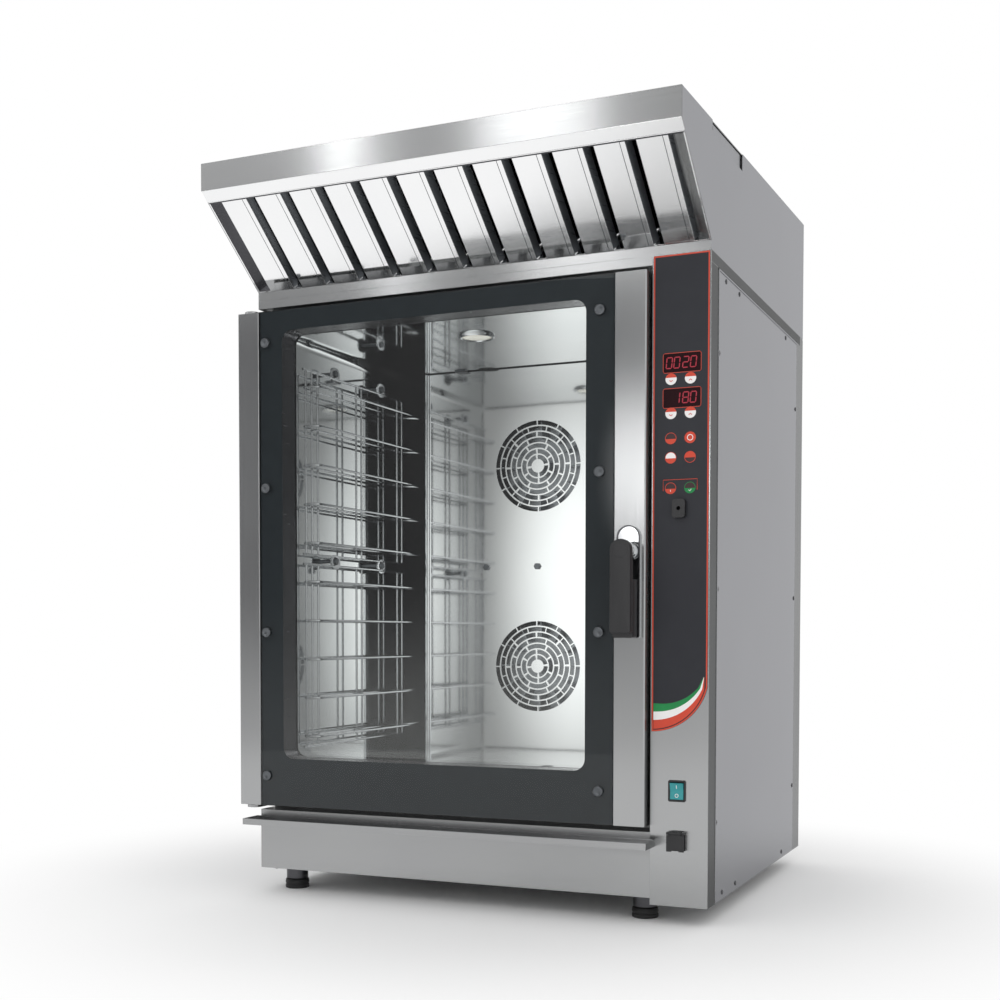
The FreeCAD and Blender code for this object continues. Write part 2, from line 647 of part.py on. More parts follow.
def round_the_axis(body, feature, times):
    """Repeat a body's feature evenly about the body's own Z axis."""
    pattern = body.newObject("PartDesign::PolarPattern", body.Name + "_row")
    pattern.Originals = [feature]
    pattern.Axis = (origin_plane(body, "Z_Axis"), [""])
    pattern.Angle = 360
    bind(pattern, Occurrences=times)
    body.Tip = pattern
    return body


def keep(item):
    nodes.append(item)
    return item


def sheet_casing():
    """Base pan, skirt, panels, top cover and mouth frame of the casing."""
    inside = ("left + sheet_gauge", "right - sheet_gauge")
    low = "base_bottom + base_lip"
    tray = pad("base_tray", "xz", (
        (inside[0], "base_bottom"), (inside[1], "base_bottom"), (inside[1], low),
        (inside[1] + " - base_gauge", low), (inside[1] + " - base_gauge", "base_top"),
        (inside[0] + " + base_gauge", "base_top"), (inside[0] + " + base_gauge", low),
        (inside[0], low)), ("column_back", "rear_face"))
    keep(fuse("base_pan", tray, *leg_sleeves()))
    keep(fuse(
        "front_skirt",
        pad("skirt_fold", "yz", (
            ("front", "skirt_bottom"), ("column_back", "skirt_bottom"),
            ("column_back", "skirt_top - sheet_gauge"), ("frame_front", "skirt_top - sheet_gauge"),
            ("frame_front", "skirt_top"), ("front", "skirt_top")), ("left", "column_left")),
        box("skirt_end", ("left", "left + sheet_gauge"), ("front", "frame_front"),
            ("skirt_bottom", "skirt_top"))))
    keep(box("left_panel", ("left", "left + sheet_gauge"),
             ("frame_back", "rear - corner_width - panel_seam"), ("panel_bottom", "panel_top")))
    keep(box("right_panel", ("right - sheet_gauge", "right"),
             ("front + column_return + panel_seam", "rear - corner_width - panel_seam"),
             ("panel_bottom", "panel_top")))
    slots = [box("louvre_%d" % row,
                 ("hood_middle - louvre_width / 2", "hood_middle + louvre_width / 2"),
                 ("rear_face - 1", "rear"),
                 ("louvre_bottom + %d * louvre_pitch" % row,
                  "louvre_bottom + %d * louvre_pitch + louvre_height" % row)) for row in range(6)]
    holes = [
        bar("inlet_hole", "y", "inlet_radius + 2 * pipe_play", ("inlet_x", "inlet_height"),
            ("rear_face - 1", "rear"), 10),
        bar("gland_hole", "y", "gland_radius - gland_step", ("inlet_x", "gland_height"),
            ("rear_face - 1", "rear"), 10),
        bar("drain_hole", "y", "drain_radius + pipe_play", ("cavity_middle", "drain_z"),
            ("rear_face - 1", "rear"), 10)]
    strips = [box("corner_left", ("left", "left + sheet_gauge"), ("rear - corner_width", "rear"),
                  ("panel_bottom", "column_top")),
              box("corner_right", ("right - sheet_gauge", "right"), ("rear - corner_width", "rear"),
                  ("panel_bottom", "column_top"))]
    plate = box("rear_plate", inside, ("rear_face", "rear_face + sheet_gauge"),
                ("base_bottom", "column_top"))
    keep(fuse("rear_panel", cut("rear_vents", plate, *(slots + holes)), *strips))
    lip = ("column_top - lip_height", "column_top")
    inner_lip = ("frame_back", "rear - corner_width - panel_seam")
    cover = fuse(
        "cover_sheet",
        pad("cover_fold", "yz", (
            ("front", "strip_bottom"), ("frame_front", "strip_bottom"),
            ("frame_front", "strip_bottom + sheet_gauge"), ("column_back", "strip_bottom + sheet_gauge"),
            ("column_back", "column_top"), ("rear_face", "column_top"), ("rear_face", "body_height"),
            ("front", "body_height")), ("left", "column_left")),
        box("cover_right", ("column_left", "right"), ("front", "rear_face"), ("column_top", "body_height")),
        box("cover_lip_left", ("left + lip_inset", "left + lip_inset + sheet_gauge"), inner_lip, lip),
        box("cover_lip_right", ("right - lip_inset - sheet_gauge", "right - lip_inset"), inner_lip, lip))
    keep(cut("top_cover", cover, bar("cover_hole", "z", "vent_radius + pipe_play", ("vent_x", "vent_y"),
                                     ("strip_bottom", "body_height + 1"), 10)))
    opened = cut("mouth_sheet",
                 box("mouth_plate", ("left", "column_left + sheet_gauge"), ("frame_front", "frame_back"),
                     ("skirt_top", "strip_bottom")),
                 rounded("mouth_opening", ("cavity_left", "cavity_right"),
                         ("frame_front - 1", "frame_back + 1"), ("cavity_bottom", "cavity_top"), "y",
                         "liner_round"))
    keep(fuse("mouth_frame", opened, latch_keeper()))


def cavity():
    """Polished liner, its insulation and the door gasket."""
    sides = ("cavity_left - liner_gauge", "cavity_right + liner_gauge")
    heights = ("cavity_bottom - liner_gauge", "cavity_top + liner_gauge")
    outside = rounded("liner_outside", sides, ("frame_back", "back_wall + liner_gauge"), heights, "y",
                      "liner_round + liner_gauge")
    inside = rounded("liner_inside", ("cavity_left", "cavity_right"), ("frame_back - 1", "back_wall"),
                     ("cavity_bottom", "cavity_top"), "y", "liner_round")
    through = ("back_wall - 1", "back_wall + liner_gauge + 1")
    holes = [bar("shaft_hole_%d" % row, "y", "shaft_hole", ("cavity_middle", height), through, 8)
             for row, height in enumerate(("lower_fan", "upper_fan"))]
    for row, height in enumerate(("lower_fan", "upper_fan")):
        for side, sign in enumerate("-+"):
            holes.append(bar("terminal_hole_%d_%d" % (row, side), "y", "heater_tube + 1",
                             ("cavity_middle %s clamp_width" % sign, height + " + heater_radius"), through))
    ceiling = ("cavity_top - 1", "cavity_top + liner_gauge + 1")
    holes.append(rod("lamp_hole", "z", "lamp_radius - lamp_rim + lamp_play", ("cavity_middle", "lamp_y"), ceiling))
    holes.append(rod("vent_hole", "z", "vent_radius - vent_gauge", ("vent_x", "vent_y"), ceiling))
    holes.append(rod("outlet_hole", "z", "drain_neck - drain_gauge", ("cavity_middle", "drain_y"),
                     ("cavity_bottom - liner_gauge - 1", "cavity_bottom + 1")))
    holes.append(bar("spray_hole", "y", "spray_radius + lamp_play", ("cavity_middle", "spray_z"), through))
    keep(cut("cavity_liner", outside, inside, *holes))
    wool = box("wool_block", ("left + lip_inset + sheet_gauge + wool_gap", "wool_right"),
               ("frame_back", "wool_rear"), (heights[0] + " - wool_top", heights[1] + " + wool_top"))
    hollow = rounded("wool_hollow", sides, ("frame_back - 1", "back_wall + liner_gauge"), heights, "y",
                     "liner_round + liner_gauge")
    ways = []

    def way(name, radius, x, y, z):
        """A square way through the wool, open towards one side."""
        spans = [span if isinstance(span, tuple) else ("%s - (%s)" % (span, radius), "%s + %s" % (span, radius))
                 for span in (x, y, z)]
        ways.append(box(name, *spans))

    behind = ("back_wall", "wool_rear + 1")
    above = ("cavity_top", "cavity_top + liner_gauge + wool_top + 1")
    for row, height in enumerate(("lower_fan", "upper_fan")):
        way("wool_motor_%d" % row, "motor_flange + pipe_play", "cavity_middle", behind, height)
        way("wool_terminals_%d" % row, "2 * clamp_width", "cavity_middle", behind, height + " + heater_radius")
    way("wool_lamp", "lamp_radius", "cavity_middle", "lamp_y", above)
    way("wool_vent", "vent_radius + pipe_play", "vent_x", "vent_y", above)
    way("wool_drain", "drain_neck + pipe_play", "cavity_middle", "drain_y",
        ("cavity_bottom - liner_gauge - wool_top - 1", "cavity_bottom"))
    way("wool_spray", "spray_radius + pipe_play", "cavity_middle", behind, "spray_z")
    keep(cut("insulation", wool, hollow, *ways))
    near = "gasket_offset"
    far = "(gasket_offset + gasket_width)"
    depth = ("door_back + gasket_gap", "frame_front")
    keep(cut("door_gasket",
             rounded("gasket_outside", ("cavity_left - " + far, "cavity_right + " + far), depth,
                     ("cavity_bottom - " + far, "cavity_top + " + far), "y", "liner_round + " + far),
             rounded("gasket_inside", ("cavity_left - " + near, "cavity_right + " + near),
                     (depth[0] + " - 1", depth[1] + " + 1"),
                     ("cavity_bottom - " + near, "cavity_top + " + near), "y", "liner_round + " + near)))


def slot_ring(name, height, ring):
    """One ring of slots in the baffle: straight runs round the fan's axis, parted by webs."""
    step = "(grille_radius - grille_hub) / grille_rings"
    inner = "grille_hub + %d * %s + grille_bar" % (ring, step)
    outer = "grille_hub + %d * %s" % (ring + 1, step)
    spot = ("cavity_middle", height)
    groove = cut(name + "_groove",
                 bar(name + "_outer", "y", outer, spot, ("baffle_front - 1", "baffle_back + 1"), 12),
                 bar(name + "_inner", "y", inner, spot, ("baffle_front - 2", "baffle_back + 2"), 12))
    webs = doc.addObject("PartDesign::Body", name + "_webs")
    web = webs.newObject("PartDesign::AdditiveBox", name + "_web")
    bind(web, Length="grille_radius", Width="grille_web", Height="baffle_gauge + 4")
    web.setExpression("Placement.Base.y", formula("-grille_web / 2"))
    round_the_axis(webs, web, "grille_slots")
    place(webs, "cavity_middle", "baffle_front - 2", height, "y")
    stagger = FreeCAD.Rotation(Vector(0, 0, 1), 180 / count("grille_slots") * (ring % 2))
    webs.Placement.Rotation = TURN["y"].multiply(stagger)
    return cut(name, groove, webs)


def fans():
    """Slotted baffle with its stand-offs, fan wheels, motors and heating rings."""
    plate = box("baffle_plate", ("cavity_middle - baffle_width / 2", "cavity_middle + baffle_width / 2"),
                ("baffle_front", "baffle_back"), ("cavity_bottom + baffle_gap", "cavity_top - baffle_gap"))
    rings = [slot_ring("slots_%d_%d" % (row, ring), height, ring)
             for row, height in enumerate(("lower_fan", "upper_fan")) for ring in range(count("grille_rings"))]
    keep(cut("fan_baffle", plate, *rings))
    middle = "(lower_fan + upper_fan) / 2"
    studs = []
    for row, side in enumerate(("- stud_side", "", "+ stud_side")):
        spot = ("cavity_middle " + side, middle)
        studs.append(bar("stud_post_%d" % row, "y", "stud_radius", spot, ("baffle_back", "back_wall")))
        studs.append(bar("stud_nut_%d" % row, "y", "stud_head", spot, ("baffle_front - stud_nut", "baffle_front")))
    for row, (side, height) in enumerate((("-", "cavity_bottom"), ("+", "cavity_bottom"),
                                          ("-", "cavity_top - baffle_gap - 1"),
                                          ("+", "cavity_top - baffle_gap - 1"))):
        edge = "cavity_middle %s baffle_width / 3" % side
        studs.append(box("baffle_clip_%d" % row, (edge + " - clip_width / 2", edge + " + clip_width / 2"),
                         ("baffle_front - clip_reach", "baffle_front"), (height, height + " + baffle_gap + 1")))
    motors = []
    for label, height in (("lower", "lower_fan"), ("upper", "upper_fan")):
        spot = ("cavity_middle", height)
        body = doc.addObject("PartDesign::Body", label + "_blades")
        blade = body.newObject("PartDesign::AdditiveBox", label + "_blade")
        bind(blade, Length="blade_length", Width="blade_gauge", Height="wheel_depth - wheel_disc")
        blade.setExpression("Placement.Base.x", formula("wheel_radius - blade_length"))
        round_the_axis(body, blade, "blade_count")
        place(body, "cavity_middle", "wheel_front", height, "y")
        keep(fuse(label + "_fan", body,
                  bar(label + "_disc", "y", "wheel_radius", spot, ("wheel_back - wheel_disc", "wheel_back"), 12),
                  bar(label + "_hub", "y", "hub_radius", spot, ("wheel_front", "wheel_back"), 8),
                  rod(label + "_shaft", "y", "shaft_radius", spot,
                      ("wheel_back", "back_wall + liner_gauge + flange_gauge + motor_length / 2"))))
        start = "back_wall + liner_gauge"
        body = fuse(label + "_motor_body",
                    box(label + "_flange", ("cavity_middle - motor_flange", "cavity_middle + motor_flange"),
                        (start, start + " + flange_gauge"), (height + " - motor_flange", height + " + motor_flange")),
                    bar(label + "_can", "y", "motor_radius", spot,
                        (start + " + flange_gauge", start + " + flange_gauge + motor_length"), 12))
        motors.append(cut(label + "_motor", body, rod(
            label + "_bearing", "y", "shaft_radius + running_gap", spot,
            (start + " - 1", start + " + flange_gauge + motor_length / 2 + 1"))))
    keep(group("fan_motors", motors))
    heaters = []
    for label, height in (("lower", "lower_fan"), ("upper", "upper_fan")):
        turns = []
        for turn in range(count("heater_turns")):
            start = "wheel_front + heater_setback + %d * heater_pitch" % turn
            name = "%s_turn_%d" % (label, turn)
            spot = ("cavity_middle", height)
            turns.append(cut(
                name,
                bar(name + "_outside", "y", "heater_radius + heater_tube", spot,
                    (start + " - heater_tube", start + " + heater_tube"), 10),
                bar(name + "_inside", "y", "heater_radius - heater_tube", spot,
                    (start + " - heater_tube - 1", start + " + heater_tube + 1"), 10)))
        reach = ("wheel_front + heater_setback / 4", "back_wall")
        for side, sign in enumerate("-+"):
            edge = "cavity_middle %s heater_radius" % sign
            turns.append(box("%s_clamp_%d" % (label, side),
                             (edge + " - clamp_width / 2", edge + " + clamp_width / 2"), reach,
                             (height + " - clamp_width / 2", height + " + clamp_width / 2")))
            turns.append(bar("%s_terminal_%d" % (label, side), "y", "heater_tube",
                             ("cavity_middle %s clamp_width" % sign, height + " + heater_radius"),
                             ("wheel_front + heater_setback", "back_wall + terminal_tail"), 4))
        heaters.append(fuse(label + "_heater", *turns))
    keep(group("heating_rings", heaters))
    return studs


def rack(label, sign, first):
    """One section of a tray rack: uprights, closed loops of square wire for the trays, and hanging ears."""
    wall = "cavity_left" if sign == "+" else "cavity_right"
    other = "-" if sign == "+" else "+"
    line = "(%s %s rack_inset)" % (wall, sign)
    ends = ("(rack_y - rail_overhang)", "(rack_y + rack_length + rail_overhang)")
    low = "cavity_bottom + rack_first + %d * rack_pitch" % first
    high = "(%s + %d * rack_pitch + rack_head)" % (low, count("rack_levels") - 1)

    def around(middle, radius):
        return ("%s - %s" % (middle, radius), "%s + %s" % (middle, radius))

    wires = [box("%s_upright_%d" % (label, column), around(line, "upright_radius"),
                 around("rack_y + %d * rack_length / 2" % column, "upright_radius"),
                 (low + " - rack_foot", high + " - rail_radius"))
             for column in range(3)]
    wires.append(box(label + "_top", around(line, "rail_radius"), ends, around(high, "rail_radius")))
    guard = "(%s %s (upright_radius + rail_radius))" % (line, other)
    rail = "(%s %s rail_reach)" % (line, sign)
    near, far = (guard, rail) if sign == "+" else (rail, guard)
    for level in range(count("rack_levels")):
        height = "(%s + %d * rack_pitch)" % (low, level)
        name = "%s_loop_%d" % (label, level)
        wires.append(cut(
            name,
            box(name + "_outside", (near + " - rail_radius", far + " + rail_radius"), ends,
                around(height, "rail_radius")),
            box(name + "_inside", (near + " + rail_radius", far + " - rail_radius"),
                (ends[0] + " + 2 * rail_radius", ends[1] + " - 2 * rail_radius"), around(height, "2 * rail_radius"))))
    for ear in range(2):
        middle = "(rack_y + %d * rack_length / 4)" % (1 + 2 * ear)
        wires.append(cut(
            "%s_ear_%d" % (label, ear),
            box("%s_lug_%d" % (label, ear), around(line, "ear_gauge / 2"), around(middle, "ear_size / 2"),
                (high + " + rail_radius", high + " + ear_stand + ear_size / 2")),
            bar("%s_eye_%d" % (label, ear), "x", "peg_radius + peg_play",
                (middle, high + " + ear_stand"), around(line, "ear_gauge"))))
    return fuse(label, *wires), (wall, line, high)


def racks():
    """Two rack sections on each side, and the pegs on the cavity walls that they hang on."""
    pegs = []
    for side, sign in (("left", "+"), ("right", "-")):
        sections = []
        for part, first in (("lower", 0), ("upper", count("rack_levels"))):
            label = "%s_%s_rack" % (side, part)
            section, (wall, line, high) = rack(label, sign, first)
            sections.append(section)
            for ear in range(2):
                middle = "(rack_y + %d * rack_length / 4)" % (1 + 2 * ear)
                spot = (middle, high + " + ear_stand")
                head = (line + " + ear_gauge / 2", line + " + ear_gauge / 2 + peg_cap")
                post = (wall, line + " + ear_gauge / 2")
                if sign == "-":
                    head = (line + " - ear_gauge / 2 - peg_cap", line + " - ear_gauge / 2")
                    post = (line + " - ear_gauge / 2", wall)
                name = "%s_peg_%d" % (label, ear)
                pegs.append(fuse(name, bar(name + "_post", "x", "peg_radius", spot, post),
                                 bar(name + "_head", "x", "peg_head", spot, head)))
        keep(group("%s_racks" % side, sections))
    return pegs


def services():
    """Lamp, steam outlet, drain, water inlet, cable gland and steam injection."""
    keep(fuse("cavity_lamp",
              bar("lamp_glass", "z", "lamp_radius", ("cavity_middle", "lamp_y"),
                  ("cavity_top - lamp_drop", "cavity_top"), 12),
              bar("lamp_holder", "z", "lamp_radius - lamp_rim", ("cavity_middle", "lamp_y"),
                  ("cavity_top", "cavity_top + lamp_body"), 12)))
    keep(tube("steam_outlet", "z", "vent_radius", "vent_radius - vent_gauge", ("vent_x", "vent_y"),
              ("cavity_top + liner_gauge", "body_height + vent_rise"), 10))
    down = ("drain_z", "cavity_bottom - liner_gauge")
    along = ("drain_y - drain_radius", "rear_face + drain_step")
    keep(cut("drain_pipe",
             fuse("drain_bend",
                  bar("drain_down", "z", "drain_neck", ("cavity_middle", "drain_y"), down, 8),
                  bar("drain_along", "y", "drain_radius", ("cavity_middle", "drain_z"), along, 10),
                  rod("drain_end_pipe", "y", "drain_spigot", ("cavity_middle", "drain_z"),
                      (along[1], "drain_end"))),
             bar("drain_down_bore", "z", "drain_neck - drain_gauge", ("cavity_middle", "drain_y"),
                 ("drain_z", down[1] + " + 1"), 8),
             bar("drain_along_bore", "y", "drain_spigot - drain_gauge", ("cavity_middle", "drain_z"),
                 (along[0] + " + drain_gauge", "drain_end + 1"), 10)))
    spot = ("inlet_x", "inlet_height")
    half = "valve_size / 2"
    block = box("valve_block", ("inlet_x - " + half, "inlet_x + " + half), ("rear_face - valve_size", "rear_face"),
                ("inlet_height - " + half, "inlet_height + " + half))
    keep(cut("water_inlet",
             fuse("valve_body", block, rod("inlet_thread", "y", "inlet_radius", spot,
                                           ("rear_face", "rear_face + inlet_tail"))),
             bar("inlet_way", "y", "inlet_bore", spot, ("rear_face - valve_size / 2", "rear"), 8)))
    spot = ("inlet_x", "gland_height")
    keep(cut("cable_gland",
             fuse("gland_body",
                  bar("gland_nut", "y", "gland_radius", spot,
                      ("rear_face + sheet_gauge", "rear_face + gland_tail")),
                  bar("gland_neck", "y", "gland_radius - gland_step", spot,
                      ("rear_face - gland_inner", "rear_face + sheet_gauge"), 10)),
             rod("gland_way", "y", "gland_bore", spot, ("rear_face - gland_inner - 1", "rear"))))
    spot = ("cavity_middle", "spray_z")
    keep(tube("steam_injector", "y", "spray_radius", "spray_bore", spot,
              ("wheel_back", "wool_rear + spray_tail"), 6))


def electrics():
    """Control board behind the overlay, and the switchgear plate beside the cavity."""
    board_left = "column_left + sheet_gauge + board_side"
    board_front = "front + board_inset"
    pieces = [box("board_sheet", (board_left, "right - sheet_gauge - board_side"),
                  (board_front, board_front + " + board_gauge"),
                  ("board_bottom", "board_bottom + board_height"))]
    for row in range(5):
        for side in range(2):
            middle = "(column_left + key_side + %d * key_pitch)" % side
            height = "(board_bottom + key_first + %d * key_rise)" % row
            pieces.append(box("key_%d_%d" % (row, side), (middle + " - key_size", middle + " + key_size"),
                              ("column_back", board_front),
                              (height + " - key_size", height + " + key_size")))
    keep(fuse("control_board", *pieces))
    face = "plate_left + plate_gauge"
    reach = ("front + plate_front", "front + plate_front + plate_length")
    plate = fuse("switch_plate",
                 box("switch_sheet", ("plate_left", face), reach,
                     ("plate_bottom", "plate_bottom + plate_height")),
                 box("switch_foot", ("wool_right", face), reach,
                     ("plate_bottom - plate_gauge", "plate_bottom")),
                 box("switch_head", ("wool_right", face), reach,
                     ("plate_bottom + plate_height", "plate_bottom + plate_height + plate_gauge")))
    parts = [plate]
    for row in range(4):
        start = "front + plate_front + gear_inset + %d * contactor_pitch" % row
        parts.append(box("contactor_%d" % row, (face, face + " + contactor_depth"),
                         (start, start + " + contactor_size"),
                         ("plate_bottom + contactor_rise", "plate_bottom + contactor_rise + contactor_height")))
    parts.append(box("terminal_block", (face, face + " + terminal_depth"),
                     (reach[0] + " + gear_inset", reach[0] + " + gear_inset + terminal_length"),
                     ("plate_bottom + terminal_rise", "plate_bottom + terminal_rise + terminal_height")))
    keep(group("switch_gear", parts))


def control_column():
    """Folded front column with its overlay, displays, sockets, rocker and flap."""
    fold = pad("column_fold", "xy", (
        ("column_left", "front"), ("right", "front"), ("right", "front + column_return"),
        ("right - sheet_gauge", "front + column_return"), ("right - sheet_gauge", "column_back"),
        ("column_left + sheet_gauge", "column_back"), ("column_left + sheet_gauge", "frame_front"),
        ("column_left", "frame_front")), ("panel_bottom", "column_top"))
    through = ("front - 1", "column_back + 1")
    bezel = ("column_left + rocker_side", "column_left + rocker_side + bezel_width")
    holes = [
        box("column_foot", ("column_left - 1", "column_left + 1.3 * sheet_gauge"),
            ("column_back", "frame_back"), ("panel_bottom - 1", "skirt_top")),
        box("rocker_hole", (bezel[0] + " + bezel_lip", bezel[1] + " - bezel_lip"), through,
            ("rocker_bottom + bezel_lip", "rocker_bottom + bezel_height - bezel_lip")),
        bar("socket_hole", "y", "socket_bore + socket_wall", ("flap_left + flap_width / 2", "socket_z"), through),
        bar("jack_hole", "y", "jack_bore + jack_wall", ("jack_x", "jack_z"), through, 8)]
    keep(cut("control_column", fold, *holes))
    skin = ("overlay_front", "front")
    past = ("overlay_front - 1", "front + 1")
    film = box("overlay_film", ("overlay_left", "overlay_right"), skin, ("overlay_bottom", "column_top"))
    corner = cut("overlay_corner",
                 box("corner_block", ("overlay_left", "overlay_right + 1"), past,
                     ("overlay_bottom - 1", "overlay_bottom + overlay_sweep")),
                 rod("corner_round", "y", "overlay_round", ("overlay_left", "overlay_bottom + overlay_round"),
                     ("overlay_front - 2", "front + 2")))
    keep(cut("control_overlay", film, corner,
             bar("film_hole", "y", "jack_bore + jack_wall", ("jack_x", "jack_z"), past, 8)))
    windows = []
    for row in range(2):
        top = "display_top - %d * display_pitch" % row
        windows.append(box("display_%d" % row, ("column_left + display_side",
                                                "column_left + display_side + display_width"),
                           ("overlay_front - display_gauge", "overlay_front"),
                           (top + " - display_height", top)))
    keep(group("display_windows", windows))
    jack = ("column_left + jack_side", "column_left + jack_side + jack_width")
    spot = ("jack_x", "jack_z")
    keep(cut("upper_socket",
             fuse("jack_body",
                  rounded("jack_block", jack, ("overlay_front - jack_depth", "overlay_front"),
                          ("jack_bottom", "jack_bottom + jack_height"), "y", "small_round", True),
                  bar("jack_neck", "y", "jack_bore + jack_wall", spot, ("overlay_front", "front + jack_tail"), 8)),
             rod("jack_way", "y", "jack_bore", spot,
                 ("overlay_front - jack_depth - 1", "front + jack_tail - jack_wall"))))
    rocker_switch(bezel)
    socket_flap()


def rocker_switch(bezel):
    """Mains switch: a bezel and a rocker that tilts in it."""
    height = ("rocker_bottom", "rocker_bottom + bezel_height")
    wall = "bezel_wall"
    bezel_inner = (bezel[0] + " + bezel_lip", bezel[1] + " - bezel_lip")
    frame = fuse("bezel_body",
                 rounded("bezel_rim", bezel, ("front - bezel_proud", "front"), height, "y", "stile_round", True),
                 box("bezel_can", bezel_inner, ("front", "front + bezel_depth"),
                     (height[0] + " + bezel_lip", height[1] + " - bezel_lip")))
    hollow = cut("bezel_hollow", frame,
                 box("bezel_well", (bezel[0] + " + " + wall, bezel[1] + " - " + wall),
                     ("front - bezel_proud - 1", "front + bezel_depth - 2"),
                     (height[0] + " + " + wall, height[1] + " - " + wall)))
    keep(fuse("rocker_bezel", hollow,
              rod("rocker_pivot", "x", "rocker_pin", ("front", "rocker_z"), bezel_inner)))
    half = "(bezel_height / 2 - bezel_wall - 2 * rocker_gap)"
    body = doc.addObject("PartDesign::Body", "rocker_paddle")
    face = sketch_outline(body, "YZ_Plane", (
        ("-rocker_proud", half), ("-rocker_proud + rocker_dish", "0"), ("-rocker_proud", "-" + half),
        ("0", "-" + half), ("rocker_body", "-2"), ("rocker_body", "2"), ("0", half)))
    feature = body.newObject("PartDesign::Pad", "rocker_pad")
    feature.Profile = face
    feature.Midplane = True
    bind(feature, Length="bezel_width - 2 * bezel_wall - 2 * rocker_gap")
    place(body, "rocker_x", "front", "rocker_z")
    body.Placement.Rotation = FreeCAD.Rotation(Vector(1, 0, 0), amount("rocker_tilt"))
    keep(cut("mains_rocker", body,
             rod("rocker_eye", "x", "rocker_pin + running_gap", ("front", "rocker_z"), bezel)))


def socket_flap():
    """Lower socket with a flap that lifts on a pin."""
    edge = ("flap_left", "flap_left + flap_width")
    middle = "(flap_left + flap_width / 2)"
    top = "knuckle_z - knuckle_radius - flap_gap"
    block = box("socket_block", (edge[0] + " + socket_margin", edge[1] + " - socket_margin"),
                ("socket_front", "front"), ("flap_bottom + 1", top))
    neck = bar("socket_neck", "y", "socket_bore + socket_wall", (middle, "socket_z"),
               ("front", "front + socket_tail"))
    ears = [box("socket_base", edge, ("front - socket_plate", "front"), ("flap_bottom + 1", "knuckle_z + 2"))]
    for number, (low, high) in enumerate(((edge[0], edge[0] + " + ear_width"),
                                          (edge[1] + " - ear_width", edge[1]))):
        ears.append(box("socket_ear_%d" % number, (low, high), ("knuckle_y - 2", "front"),
                        ("knuckle_z - 2", "knuckle_z + 2")))
    pin = rod("socket_pin", "x", "flap_pin", ("knuckle_y", "knuckle_z"), edge)
    keep(fuse("lower_socket", cut("socket_body", fuse("socket_solid", block, neck), bar(
        "socket_way", "y", "socket_bore", (middle, "socket_z"),
        ("socket_front - 1", "front + socket_tail - socket_wall"), 8)), pin, *ears))
    span = (edge[0] + " + ear_width + flap_gap", edge[1] + " - ear_width - flap_gap")
    face = ("knuckle_y - flap_gauge / 2", "knuckle_y + flap_gauge / 2")
    plate = fuse("flap_plate",
                 box("flap_sheet", edge, face, ("flap_bottom", "knuckle_z - 2 - flap_gap")),
                 box("flap_neck", span, face, ("knuckle_z - 2 - flap_gap - 1", "knuckle_z")),
                 rod("flap_knuckle", "x", "knuckle_radius", ("knuckle_y", "knuckle_z"), span))
    keep(cut("socket_flap", plate,
             rod("flap_eye", "x", "flap_pin + running_gap", ("knuckle_y", "knuckle_z"), edge),
             bar("flap_finger", "y", "flap_notch", (middle, "flap_bottom - flap_notch / 2"),
                 (face[0] + " - 1", face[1] + " + 1"), 8)))


